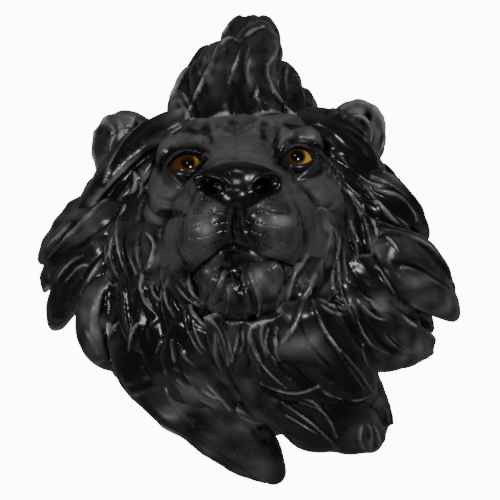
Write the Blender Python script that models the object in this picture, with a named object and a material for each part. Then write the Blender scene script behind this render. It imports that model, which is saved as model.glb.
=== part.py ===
"""Lion head wall mask: one resin cast with a flat back, and two glass eyes behind its lids.

The face looks along -Y, +Z is up, and the wall is the plane y = 0. The origin is on the flat
back, where the mask bears on the wall. A place is written as (x, out, z) in millimetres, where
out is the distance from the wall.
"""
import math

import bmesh
import bpy
from mathutils import Matrix, Vector

MM = 0.001

# Driving sizes of the whole mask
MASK_HALF_WIDTH = 128.0      # the mound under the mane, where it meets the wall
MASK_HALF_HEIGHT = 130.0
MASK_CENTRE_Z = -35.0
MOUND_RISE = 90.0            # how far the mound stands out from the wall
PIECE_GAP = 0.4              # between an eye and its socket

# Eyes
EYE_X = 37.0
EYE_OUT = 104.0
EYE_Z = 2.0
EYE_RADIUS = 14.5
EYE_BACK = 6.0               # the flat back of an eye lies this far behind its centre
LID_THICKNESS = 3.2
OPENING_WIDTH = 28.0
OPENING_HEIGHT = 17.0
OPENING_TURN = 8.0           # outer corners sit higher, in degrees

# Ears, as dished ovals that the side bands of the mane pass in front of
EARS = (
    # centre, half width, half height, thickness, turn out from the front in degrees
    ((-88.0, 34.0, 78.0), 27.0, 31.0, 15.0, -32.0),
    ((84.0, 34.0, 68.0), 25.0, 33.0, 15.0, 32.0),
)
EAR_DISH = 0.74              # the hollow's share of the ear's size

# Slot in the back for the head of a wall screw
SLOT_WIDTH = 10.0
SLOT_LENGTH = 26.0
SLOT_DEPTH = 12.0
SLOT_Z = 96.0

# Mesh sizes
FACE_GRAIN = 2.6             # voxel of the smooth face
CAST_GRAIN = 2.2             # voxel that fuses face and mane
CLOSING_GRAIN = 2.0          # voxel of the carved and softened cast
CUTTER_GRAIN = 1.0
FACE_SOFTENING = 10
CAST_SOFTENING = 2
KEPT_SHARE = 0.038           # faces kept when the finished cast is simplified
LOCK_RINGS = 15
LOCK_SIDES = 22
WALL_BLOCK = 0.6             # side of the block that cuts the back flat, in metres

BLACK_PAINT = ((0.012, 0.012, 0.013, 1.0), 0.32, 0.0)
AMBER_GLASS = ((0.33, 0.13, 0.03, 1.0), 0.05, 0.0)

# Forms of the face: centre, half sizes, pitch in degrees. One off the middle has a mirrored twin.
FACE_FORMS = {
    "skull": ((0, 44, -8), (66, 66, 72), 0),
    "forehead": ((24, 66, 30), (34, 40, 30), 0),
    "orbit": ((37, 90, 2), (23, 22, 19), 0),
    "middle": ((0, 116, -48), (46, 60, 44), -30),
    "cheekbone": ((47, 85, -27), (23, 28, 23), 0),
    "flank": ((24, 134, -52), (20, 36, 22), -30),
    "jaw": ((33, 96, -66), (28, 46, 32), 0),
    "muzzle": ((0, 152, -84), (37, 44, 30), 0),
    "whisker_pad": ((19, 177, -89), (21, 26, 24), 0),
    "chin": ((0, 154, -124), (27, 32, 20), 0),
    "nose": ((0, 195, -67), (26, 19, 15), -15),
    "nose_wing": ((19, 188, -68), (10, 15, 11), 0),
    "lid": ((EYE_X, EYE_OUT, EYE_Z), (EYE_RADIUS + LID_THICKNESS,) * 3, 0),
}

# Rolls of the face: two ends and their radii
FACE_ROLLS = {
    "bridge_side": ((9, 110, 10), (7, 184, -58), 17, 15),
    "brow": ((16, 112, 22), (45, 100, 22), 9, 8),
}

# What is carved into the face
NOSTRIL = ((13, 211, -75), (7.5, 12, 6.5), 0)
MOUTH_ROLLS = (
    # from the groove under the nose, down the lip's split, then back to each corner
    ((0, 214, -92), (-1, 207, -113), 1.6, 2.0),
    ((-1, 206, -113), (-22, 182, -121), 2.2, 2.6),
    ((-22, 182, -121), (-33, 158, -108), 2.6, 3.4),
    ((-1, 206, -113), (24, 182, -121), 2.2, 2.6),
    ((24, 182, -121), (36, 158, -112), 2.6, 3.4),
)

# Forms that carry the mane: centre, half sizes, pitch
MANE_MOUNDS = {
    "mound": ((0, 0, MASK_CENTRE_Z), (MASK_HALF_WIDTH, MOUND_RISE, MASK_HALF_HEIGHT), 0),
    "side": ((60, 26, -12), (68, 48, 64), 0),
    "lower_side": ((48, 34, -84), (58, 50, 48), 0),
    "ear_seat": ((56, 12, 58), (46, 50, 44), 0),
    "throat": ((0, 48, -90), (60, 80, 52), 0),
    "crown": ((2, 0, 88), (54, 66, 94), 0),
    "crown_front": ((2, 40, 66), (44, 50, 52), 0),
}

# Locks of the mane: where each grows, passes and ends, its width and its thickness
CREST = {
    "ridge_right": ((19, 92, 53), (23, 80, 101), (22, 50, 164), 30, 22),
    "ridge_left": ((-12, 94, 53), (-18, 82, 101), (-2, 60, 143), 34, 22),
    "front_middle": ((4, 95, 53), (6, 82, 94), (10, 58, 147), 24, 18),
    "side_left": ((-39, 86, 61), (-48, 76, 93), (-32, 62, 128), 22, 18),
    "side_right": ((36, 86, 54), (42, 74, 86), (36, 56, 123), 24, 18),
    "back_left": ((-26, 62, 93), (-36, 54, 130), (-21, 44, 158), 26, 20),
    "top_left": ((-5, 50, 118), (-10, 36, 160), (2, 16, 203), 32, 26),
    "top_right": ((13, 50, 125), (29, 34, 163), (20, 18, 198), 34, 26),
    "low_right": ((50, 76, 56), (56, 62, 88), (45, 54, 105), 22, 18),
    "low_right_outer": ((59, 64, 60), (64, 52, 82), (57, 46, 94), 20, 18),
}
BANDS = {
    "left": ((-40, 88, 61), (-71, 84, 58), (-101, 52, 32), 26, 18),
    "left_inner": ((-57, 86, 44), (-75, 80, 34), (-95, 58, 12), 24, 16),
    "right": ((46, 88, 57), (73, 84, 46), (99, 52, 22), 24, 18),
    "right_inner": ((63, 86, 33), (78, 80, 18), (95, 58, 12), 22, 16),
}
LEFT_SIDE = {
    "upper": ((-87, 56, 37), (-116, 50, 38), (-128, 30, 29), 24, 16),
    "first": ((-78, 76, 15), (-118, 66, 8), (-150, 22, -11), 32, 18),
    "second": ((-80, 74, -7), (-110, 60, -14), (-151, 18, -28), 26, 16),
    "third": ((-87, 70, -35), (-115, 56, -38), (-141, 14, -56), 32, 18),
    "curl": ((-92, 64, -57), (-128, 52, -60), (-95, 30, -98), 26, 14),
    "low": ((-83, 70, -73), (-105, 46, -98), (-89, 10, -108), 34, 20),
    "broad": ((-59, 90, -78), (-83, 62, -123), (-57, 14, -143), 46, 26),
    "short": ((-62, 66, -126), (-53, 54, -141), (-44, 36, -154), 22, 14),
    "diagonal": ((-60, 86, -121), (-23, 74, -144), (5, 40, -173), 26, 16),
    "bottom_tip": ((-64, 50, -141), (-19, 42, -170), (14, 6, -188), 36, 22),
}
BEARD = {
    "left": ((-20, 146, -126), (-14, 128, -136), (-14, 100, -145), 16, 12),
    "right": ((11, 148, -134), (15, 124, -143), (24, 86, -159), 26, 14),
    "middle": ((-3, 146, -133), (-2, 122, -141), (-5, 92, -151), 20, 12),
    "under": ((-14, 120, -135), (-14, 84, -158), (3, 40, -164), 40, 24),
}
RIGHT_SIDE = {
    "swell": ((18, 128, -134), (50, 108, -141), (82, 50, -153), 44, 26),
    "strip": ((39, 112, -99), (66, 92, -127), (89, 26, -159), 16, 14),
    "bottom": ((-2, 92, -158), (36, 74, -172), (78, 16, -167), 40, 24),
    "fourth": ((59, 96, -89), (74, 76, -119), (129, 14, -96), 34, 20),
    "fourth_inner": ((72, 88, -66), (86, 76, -90), (111, 40, -108), 26, 16),
    "fifth": ((86, 78, -58), (111, 66, -64), (148, 16, -69), 32, 18),
    "sixth": ((83, 76, -36), (115, 66, -36), (145, 20, -51), 28, 16),
    "seventh": ((77, 74, 6), (110, 62, 0), (132, 24, -18), 26, 16),
    "seventh_inner": ((75, 80, -12), (97, 70, -21), (111, 52, -24), 18, 12),
    "eighth": ((88, 58, 29), (109, 48, 27), (120, 28, 16), 20, 14),
}
CHEEKS = {
    "right_front": ((59, 98, -30), (59, 98, -61), (34, 128, -125), 18, 12),
    "right_middle": ((71, 90, -22), (68, 92, -58), (65, 84, -95), 18, 12),
    "right_back": ((76, 84, -27), (83, 82, -46), (90, 68, -50), 16, 10),
    "left_front": ((-59, 98, -36), (-47, 104, -72), (-20, 132, -128), 18, 12),
    "left_middle": ((-67, 94, -29), (-70, 96, -59), (-57, 96, -92), 20, 12),
    "left_back": ((-80, 86, -12), (-88, 84, -38), (-78, 78, -64), 18, 12),
    "left_chin": ((-47, 110, -98), (-40, 104, -117), (-28, 92, -136), 20, 12),
    "left_low": ((-72, 90, -62), (-75, 86, -90), (-62, 72, -114), 26, 16),
}
MANE_AXIS = (0, 20, -30)     # locks turn their broad side away from this point
ROOT_SHARE = 0.6             # a lock's width at its root, as a share of its full width
BELLY_AT = 0.4               # how far along a lock is broadest
STRANDS = 3                  # ridges along a lock
STRAND_DEPTH = 0.16          # depth of the grooves between them, as a share of its thickness

# Short locks around the foot of the mound, as shares of the way from its middle to its rim
FOOT_LOCKS = 26
FOOT_REACH = (0.62, 0.88, 1.0)
FOOT_OUT = (76.0, 55.0, 8.0)
FOOT_SWEEP = (0.0, 4.0, 12.0)     # turned round the middle by these degrees, to curl
FOOT_WIDTH = 30.0
FOOT_THICKNESS = 22.0


def place(x, out, z):
    """A point given as x, distance from the wall and z in millimetres, in metres."""
    return Vector((x, -out, z)) * MM


def clear_scene():
    """Remove whatever objects the file holds."""
    for item in list(bpy.data.objects):
        bpy.data.objects.remove(item, do_unlink=True)


def finish(name, look):
    """A Principled material from its colour, roughness and metallic value."""
    colour, roughness, metallic = look
    material = bpy.data.materials.new(name)
    material.use_nodes = True
    shader = material.node_tree.nodes["Principled BSDF"]
    shader.inputs["Base Color"].default_value = colour
    shader.inputs["Roughness"].default_value = roughness
    shader.inputs["Metallic"].default_value = metallic
    material.diffuse_color = colour
    return material


def new_object(name, form, material=None):
    """Turn a bmesh into an object in the scene."""
    bmesh.ops.recalc_face_normals(form, faces=form.faces)
    mesh = bpy.data.meshes.new(name)
    form.to_mesh(mesh)
    form.free()
    if material:
        mesh.materials.append(material)
    item = bpy.data.objects.new(name, mesh)
    bpy.context.collection.objects.link(item)
    return item


def new_cutter(name, form):
    """A closed shape that other pieces are cut with, and that isn't part of the mask."""
    item = new_object(name, form)
    item.display_type = "WIRE"
    item.hide_render = True
    return item


def add_ellipsoid(form, centre, radii, pitch=0.0, yaw=0.0):
    """Add a ball stretched to three half sizes, then pitched about X and turned about Z."""
    turn = Matrix.Rotation(math.radians(yaw), 4, "Z") @ Matrix.Rotation(math.radians(-pitch), 4, "X")
    stretch = Matrix.Diagonal(Vector((*radii, 1.0))) * 1.0
    size = Matrix.Diagonal(Vector((MM, MM, MM, 1.0)))
    matrix = Matrix.Translation(place(*centre)) @ turn @ size @ stretch
    bmesh.ops.create_uvsphere(form, u_segments=40, v_segments=24, radius=1.0, matrix=matrix)


def add_roll(form, start, end, start_radius, end_radius):
    """Add a round bar between two points, with a ball at each end."""
    first, last = place(*start), place(*end)
    along = last - first
    for point, radius in ((first, start_radius), (last, end_radius)):
        bmesh.ops.create_uvsphere(form, u_segments=24, v_segments=16, radius=radius * MM,
                                  matrix=Matrix.Translation(point))
    turn = Vector((0, 0, 1)).rotation_difference(along).to_matrix().to_4x4()
    bmesh.ops.create_cone(form, cap_ends=True, segments=24, radius1=start_radius * MM,
                          radius2=end_radius * MM, depth=along.length,
                          matrix=Matrix.Translation((first + last) / 2) @ turn)


def lock_width(share):
    """A lock's width along its length: narrower at the root, broad early on, closing to a point."""
    if share < BELLY_AT:
        rise = math.sin(share / BELLY_AT * math.pi / 2)
        return ROOT_SHARE + (1 - ROOT_SHARE) * rise
    fall = (share - BELLY_AT) / (1 - BELLY_AT)
    return math.sqrt(max(0.0, 1 - fall ** 2.2))


def lens_point(angle):
    """A point of a lock's section: a lens whose outer side has STRANDS ridges."""
    sideways, rise = math.cos(angle), math.sin(angle)
    if rise > 0:
        rib = math.cos(math.pi * STRANDS * sideways)
        rise *= 1 - STRAND_DEPTH * (1 + rib) * (1 - abs(sideways))
    return sideways, math.copysign(abs(rise) ** 1.35, rise)


def add_lock(form, root, via, tip, width, thickness):
    """Add one lock of hair: oval rings along a bend, which turn their broad side outwards.

    The bend is the parabola through root, via and tip. A ring is a lens with sharp sides, whose
    outer half is ribbed into strands, and its size follows lock_width.
    """
    root, via, tip = place(*root), place(*via), place(*tip)
    handle = 2 * via - (root + tip) / 2
    rings = []
    for index in range(LOCK_RINGS):
        share = index / (LOCK_RINGS - 1)
        point = root * (1 - share) ** 2 + handle * (2 * share * (1 - share)) + tip * share ** 2
        heading = ((handle - root) * (1 - share) + (tip - handle) * share).normalized()
        outward = point - place(*MANE_AXIS)
        outward = (outward - heading * outward.dot(heading)).normalized()
        across = heading.cross(outward)
        size = max(lock_width(share), 0.06)
        ring = []
        for side in range(LOCK_SIDES):
            angle = 2 * math.pi * side / LOCK_SIDES
            sideways, rise = lens_point(angle)
            offset = across * (sideways * width / 2) + outward * (rise * thickness / 2)
            ring.append(form.verts.new(point + offset * size * MM))
        rings.append(ring)
    for ring, following in zip(rings, rings[1:]):
        for side in range(LOCK_SIDES):
            other = (side + 1) % LOCK_SIDES
            form.faces.new((ring[side], ring[other], following[other], following[side]))
    form.faces.new(rings[0])
    form.faces.new(rings[-1])


def foot_locks():
    """The short locks around the foot of the mound, each with its root, bend and tip."""
    for number in range(FOOT_LOCKS):
        points = []
        for reach, out, sweep in zip(FOOT_REACH, FOOT_OUT, FOOT_SWEEP):
            angle = math.radians(360 / FOOT_LOCKS * number + (sweep if number % 2 else -sweep))
            points.append((reach * MASK_HALF_WIDTH * math.cos(angle), out,
                           MASK_CENTRE_Z + reach * MASK_HALF_HEIGHT * math.sin(angle)))
        yield (*points, FOOT_WIDTH, FOOT_THICKNESS)


def mirrored(centre):
    """The point itself, and its mirror twin if it is off the middle."""
    x, out, z = centre
    return [centre] if x == 0 else [centre, (-x, out, z)]


def soft_face():
    """The face as one soft form: overlapping ovals and rolls fused and smoothed."""
    form = bmesh.new()
    for centre, radii, pitch in FACE_FORMS.values():
        for point in mirrored(centre):
            add_ellipsoid(form, point, radii, pitch)
    for start, end, start_radius, end_radius in FACE_ROLLS.values():
        for first, last in zip(mirrored(start), mirrored(end)):
            add_roll(form, first, last, start_radius, end_radius)
    face = new_object("face_form", form)
    fuse(face, FACE_GRAIN)
    soften(face, FACE_SOFTENING)
    bpy.context.view_layer.update()
    evaluated = face.evaluated_get(bpy.context.evaluated_depsgraph_get())
    mesh = bpy.data.meshes.new_from_object(evaluated)
    bpy.data.objects.remove(face, do_unlink=True)
    return mesh


def fuse(item, grain):
    """Fuse overlapping closed forms into one skin of small even faces."""
    remesh = item.modifiers.new("fuse", "REMESH")
    remesh.mode = "VOXEL"
    remesh.voxel_size = grain * MM


def soften(item, passes):
    """Smooth the steps of a fused skin."""
    smooth = item.modifiers.new("soften", "SMOOTH")
    smooth.factor = 0.5
    smooth.iterations = passes


def cut(item, cutter):
    """Cut a closed cutter out of a piece."""
    boolean = item.modifiers.new("cut_" + cutter.name, "BOOLEAN")
    boolean.operation = "DIFFERENCE"
    boolean.solver = "EXACT"
    boolean.object = cutter


def carving_cutter():
    """Nostrils, mouth line, ear hollows: everything carved before the cast is simplified."""
    form = bmesh.new()
    centre, radii, pitch = NOSTRIL
    for point in mirrored(centre):
        add_ellipsoid(form, point, radii, pitch)
    for roll in MOUTH_ROLLS:
        add_roll(form, *roll)
    for (x, out, z), half_width, half_height, thickness, turn in EARS:
        aim = Matrix.Rotation(math.radians(turn), 3, "Z") @ Vector((0, -thickness * 0.75, 0))
        hollow = (x + aim.x, out - aim.y, z)
        radii = (half_width * EAR_DISH, thickness, half_height * EAR_DISH)
        add_ellipsoid(form, hollow, radii, 0.0, turn)
    cutter = new_cutter("carving_cutter", form)
    fuse(cutter, CUTTER_GRAIN)
    return cutter


def opening_outline(side):
    """The almond opening of one eye, from two arcs that meet at its corners."""
    half = OPENING_WIDTH / 2
    points = []
    for sign in (1, -1):
        for step in range(10):
            share = step / 10
            across = half * math.cos(math.pi * share) * sign
            rise = sign * OPENING_HEIGHT / 2 * math.sin(math.pi * share)
            points.append((across, rise))
    turn = math.radians(OPENING_TURN * side)
    return [(x * math.cos(turn) - z * math.sin(turn), x * math.sin(turn) + z * math.cos(turn))
            for x, z in points]


def opening_cutter(name, side):
    """A bar of almond section that opens the lids of one eye to the front."""
    form = bmesh.new()
    verts = [form.verts.new(place(side * EYE_X + x, EYE_OUT + 2, EYE_Z + z))
             for x, z in opening_outline(side)]
    face = form.faces.new(verts)
    grown = bmesh.ops.extrude_face_region(form, geom=[face])["geom"]
    ahead = [part for part in grown if isinstance(part, bmesh.types.BMVert)]
    bmesh.ops.translate(form, verts=ahead, vec=Vector((0, -60 * MM, 0)))
    return new_cutter(name, form)


def eye_form(radius, back):
    """A ball cut flat behind its centre."""
    form = bmesh.new()
    bmesh.ops.create_uvsphere(form, u_segments=20, v_segments=12, radius=radius * MM)
    everything = form.verts[:] + form.edges[:] + form.faces[:]
    cut_edge = bmesh.ops.bisect_plane(form, geom=everything, plane_co=(0, back * MM, 0),
                                      plane_no=(0, 1, 0), clear_outer=True)["geom_cut"]
    rim = [part for part in cut_edge if isinstance(part, bmesh.types.BMEdge)]
    bmesh.ops.contextual_create(form, geom=rim)
    return form


def wall_cutter():
    """A block behind the plane y = 0, which leaves the back flat."""
    form = bmesh.new()
    matrix = Matrix.Translation((0, WALL_BLOCK / 2, 0))
    bmesh.ops.create_cube(form, size=WALL_BLOCK, matrix=matrix)
    return new_cutter("wall_cutter", form)


def slot_cutter():
    """An upright round-ended slot in the back that hangs on the head of a screw."""
    form = bmesh.new()
    half_run = (SLOT_LENGTH - SLOT_WIDTH) / 2
    verts = []
    for step in range(16):
        angle = 2 * math.pi * (step + 0.5) / 16
        end = half_run if math.sin(angle) > 0 else -half_run
        x = math.cos(angle) * SLOT_WIDTH / 2
        z = SLOT_Z + end + math.sin(angle) * SLOT_WIDTH / 2
        verts.append(form.verts.new(place(x, SLOT_DEPTH, z)))
    face = form.faces.new(verts)
    grown = bmesh.ops.extrude_face_region(form, geom=[face])["geom"]
    behind = [part for part in grown if isinstance(part, bmesh.types.BMVert)]
    bmesh.ops.translate(form, verts=behind, vec=Vector((0, 2 * SLOT_DEPTH * MM, 0)))
    return new_cutter("slot_cutter", form)


def lion_head(material):
    """The cast: face, ears, mounds and locks fused, carved, simplified and cut flat behind."""
    form = bmesh.new()
    form.from_mesh(soft_face())
    for centre, radii, pitch in MANE_MOUNDS.values():
        for point in mirrored(centre) if centre[0] > 10 else [centre]:
            add_ellipsoid(form, point, radii, pitch)
    for centre, half_width, half_height, thickness, turn in EARS:
        add_ellipsoid(form, centre, (half_width, thickness, half_height), 0.0, turn)
    for group in (CREST, BANDS, LEFT_SIDE, BEARD, RIGHT_SIDE, CHEEKS):
        for lock in group.values():
            add_lock(form, *lock)
    for lock in foot_locks():
        add_lock(form, *lock)
    head = new_object("lion_head", form, material)
    fuse(head, CAST_GRAIN)
    cut(head, carving_cutter())
    soften(head, CAST_SOFTENING)
    fuse(head, CLOSING_GRAIN)
    cut(head, wall_cutter())
    cut(head, slot_cutter())
    simplify = head.modifiers.new("simplify", "DECIMATE")
    simplify.ratio = KEPT_SHARE
    for name, side in (("left", -1), ("right", 1)):
        centre = place(side * EYE_X, EYE_OUT, EYE_Z)
        socket = new_cutter("socket_" + name, eye_form(EYE_RADIUS + PIECE_GAP, EYE_BACK + PIECE_GAP))
        socket.location = centre
        cut(head, socket)
        cut(head, opening_cutter("opening_" + name, side))
    return head


def eye(name, side, material):
    """One glass eye, flat behind, held by the lids."""
    item = new_object(name, eye_form(EYE_RADIUS, EYE_BACK), material)
    item.location = place(side * EYE_X, EYE_OUT, EYE_Z)
    item.data.shade_smooth()
    item.data.set_sharp_from_angle(angle=math.radians(50))
    return item


def build():
    """Make the mask."""
    clear_scene()
    black = finish("black_paint", BLACK_PAINT)
    amber = finish("amber_glass", AMBER_GLASS)
    lion_head(black)
    eye("eye_left", -1, amber)
    eye("eye_right", 1, amber)


build()
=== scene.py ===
"""The looks of a lion head wall mask: cast resin under black paint, and two amber glass eyes.

Shapes are worked out in millimetres as (x, out, z), where out is the distance from the wall,
and go into a mesh as metres with y = -out. Marks that were read off the photograph are written
as its pixels, and seen() gives where a point of the mask lies in that same picture.
"""
import math

import bpy
import numpy as np
from mathutils import Matrix, Vector


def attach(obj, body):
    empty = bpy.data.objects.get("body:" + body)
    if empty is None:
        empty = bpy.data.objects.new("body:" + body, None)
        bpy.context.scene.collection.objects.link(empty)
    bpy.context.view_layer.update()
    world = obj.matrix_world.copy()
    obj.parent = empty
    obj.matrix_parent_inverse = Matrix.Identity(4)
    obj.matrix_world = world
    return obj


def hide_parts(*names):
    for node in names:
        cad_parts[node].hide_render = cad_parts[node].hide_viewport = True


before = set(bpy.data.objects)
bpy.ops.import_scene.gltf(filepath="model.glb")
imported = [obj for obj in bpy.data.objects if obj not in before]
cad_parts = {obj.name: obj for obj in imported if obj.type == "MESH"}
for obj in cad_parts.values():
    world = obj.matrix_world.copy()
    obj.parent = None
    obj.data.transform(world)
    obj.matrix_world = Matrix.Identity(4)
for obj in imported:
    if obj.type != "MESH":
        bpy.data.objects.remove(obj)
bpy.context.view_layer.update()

MM = 0.001
FLIP = np.array((1.0, -1.0, 1.0))    # turns (x, out, z) into (x, y, z), and back

# The photograph's view: degrees round and up, the mask's lean, and its scale at the wall
VIEW_AZIMUTH, VIEW_ELEVATION, VIEW_LEAN = 2.0, -30.0, 3.0
VIEW_DISTANCE = 1400.0
PIXELS_PER_MM = 1.36
PICTURE_SIDE = 500
SENSOR_WIDTH = 36.0

# Eyes
EYE_X, EYE_OUT, EYE_Z = 37.0, 104.0, 4.0
EYE_RADIUS = 14.0
CORNEA_RISE = 0.8
LID_RADIUS = 17.2
LID_THICKNESS = 2.3
LID_FULLNESS = {"upper": 1.15, "lower": 1.3}
LID_SKEW, LID_ROUNDNESS = 0.92, 0.85
SOCKET_RADIUS = 11.0

# Forms of the face as (centre, half sizes, pitch, blend), mirrored across the middle
FACE_OVALS = (
    ((0, 44, -8), (66, 66, 72), 0, 0),           # skull
    ((24, 70, 30), (40, 40, 33), 0, 14),         # forehead
    ((0, 74, 34), (30, 36, 30), 0, 12),          # middle of the forehead
    ((37, 90, 2), (24, 22, 20), 0, 10),          # orbit
    ((0, 116, -48), (46, 60, 44), -30, 16),      # middle of the face
    ((48, 84, -20), (22, 27, 21), 0, 14),        # cheekbone
    ((24, 134, -52), (20, 36, 22), -30, 12),     # flank of the nose
    ((32, 92, -68), (27, 42, 33), 0, 18),        # jaw
    ((0, 152, -84), (37, 44, 30), 0, 10),        # muzzle
    ((19, 177, -89), (21, 26, 24), 0, 5),        # whisker pad
    ((0, 148, -118), (26, 29, 17), -14, 9),      # chin
    ((0, 193, -65), (29, 20, 16), -15, 6),       # nose
    ((0, 192, -79), (17, 21, 13), -10, 6),       # foot of the nose
    ((19, 188, -68), (10, 15, 11), 0, 4),        # wing of the nose
    ((EYE_X, EYE_OUT, EYE_Z), (LID_RADIUS, LID_RADIUS, LID_RADIUS), 0, 3),
)
# Rolls of the face as (start, end, radii, blend), merged in after the first few ovals
OVALS_BEFORE_ROLLS = 4
FACE_ROLLS = (
    ((9, 110, 10), (7, 184, -58), (17, 15), 10),     # side of the bridge
    ((16, 112, 22), (46, 98, 21), (9, 9), 8),        # brow
    ((46, 98, 21), (60, 82, 4), (9, 8), 8),          # end of the brow
)

# Carving of the face in pixels: three points of a bent line, half width in mm, depth in mm
CREASES = (
    ((236, 206), (234, 226), (236, 246), 1.3, 1.3),      # groove under the nose
    ((236, 246), (217, 257), (199, 271), 2.0, 3.0),      # mouth, left
    ((199, 271), (194, 280), (199, 291), 2.6, 3.0),
    ((236, 246), (262, 259), (304, 271), 1.7, 3.2),      # mouth, right
    ((280, 266), (295, 273), (305, 280), 3.0, 3.0),
    ((222, 250), (238, 255), (254, 252), 5.0, 2.4),      # hollow between the lips
    ((231, 272), (238, 274), (246, 284), 4.5, 3.0),      # hollow of the chin
    ((266, 216), (279, 213), (291, 216), 1.1, 1.1),      # fold on the right pad
    ((204, 180), (183, 212), (179, 240), 2.6, 3.0),      # edge of the muzzle, left
    ((179, 240), (180, 256), (190, 266), 2.4, 2.6),
    ((284, 182), (299, 200), (303, 224), 2.6, 3.0),      # edge of the muzzle, right
    ((303, 224), (307, 242), (303, 260), 2.4, 2.6),
    ((155, 210), (168, 215), (180, 209), 3.4, 3.4),      # hollow under the left cheek
    ((147, 186), (148, 206), (158, 219), 2.0, 1.6),
    ((158, 196), (172, 197), (186, 190), 3.2, 1.5),      # folds under the eyes
    ((288, 190), (311, 186), (337, 170), 3.4, 1.2),
    ((320, 208), (328, 208), (336, 198), 2.6, 1.6),
    ((205, 123), (207, 133), (213, 143), 3.4, 1.6),      # frown lines
    ((263, 120), (264, 134), (268, 146), 3.0, 1.6),
    ((272, 118), (277, 128), (277, 142), 1.8, 1.2),
    ((270, 150), (276, 142), (281, 130), 1.8, 2.0),
    ((226, 120), (240, 126), (254, 120), 3.4, 0.7),
    ((238, 126), (236, 134), (238, 142), 1.8, 0.5),
    ((188, 128), (194, 132), (201, 131), 1.8, 0.7),
    ((286, 126), (296, 127), (304, 132), 1.8, 0.6),
    ((158, 172), (178, 188), (206, 181), 2.4, 0.8),      # under the lower lids
    ((280, 176), (305, 180), (328, 166), 2.4, 0.7),
    ((157, 166), (177, 147), (208, 152), 1.6, 2.4),      # over the upper lids
    ((276, 156), (300, 140), (328, 154), 1.6, 2.4),
)
RIDGES = (
    ((157, 159), (173, 140), (204, 143), 2.6, 2.4),      # folds of the brow
    ((279, 144), (304, 131), (326, 146), 2.6, 2.4),
    ((160, 150), (178, 136), (198, 137), 1.2, 1.0),
    ((290, 136), (308, 131), (322, 140), 1.2, 1.0),
    ((224, 122), (221, 134), (226, 148), 2.4, 1.0),      # folds between the brows
    ((249, 121), (253, 134), (249, 148), 2.4, 1.0),
    ((212, 122), (214, 134), (219, 146), 1.5, 1.0),
    ((196, 121), (206, 119), (218, 120), 1.5, 1.2),
    ((262, 118), (272, 122), (282, 130), 1.4, 1.2),
    ((230, 208), (229, 224), (227, 238), 1.8, 1.0),      # lips beside the groove
    ((242, 208), (243, 224), (246, 238), 1.8, 1.0),
    ((208, 268), (222, 265), (232, 269), 3.0, 1.8),      # lower lip
    ((170, 178), (190, 183), (208, 172), 2.6, 1.6),      # below the lids
    ((278, 168), (290, 175), (306, 174), 2.6, 1.4),
)
# Nostrils in pixels: centre, half sizes, turn in degrees
NOSTRILS = (((212, 187), (13.0, 8.0), 10), ((264, 186), (12.5, 8.0), -20))
NOSTRIL_DEPTH = 11.0
# The glossy nose in pixels: its middle, half width, top edge there, and the V below
NOSE_MIDDLE, NOSE_HALF_WIDTH, NOSE_TOP, NOSE_FOOT, NOSE_RISE = 239.0, 44.0, 161.0, 210.0, 1.4
# Openings of the lids in pixels: outer corner, inner corner, rise above and drop below
OPENINGS = (((165, 168), (209, 160), 13.0, 11.0), ((320, 156), (276, 163), 13.5, 10.0))
# Middles of the pupils in pixels
GAZE_PIXELS = {"left": (188, 163), "right": (297, 156)}
# Rows of whisker pits in pixels: height at the middle and slope, then the side and start of each
# pad's rows, and the gap between two pits with their number in a row
WHISKER_ROWS = ((206, -0.26), (213, 0.0), (221, 0.16), (229, 0.30), (238, 0.42))
WHISKER_STARTS = ((-1, 227), (1, 246))
WHISKER_GAP, WHISKER_PITS = 4.2, 11
# The bar inside the head from which the face's rays fan out, and the point its normals leave
FACE_BAR = ((0.0, 40.0, -30.0), (0.0, 160.0, -80.0))
FACE_MIDDLE = (0.0, 90.0, -50.0)

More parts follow.
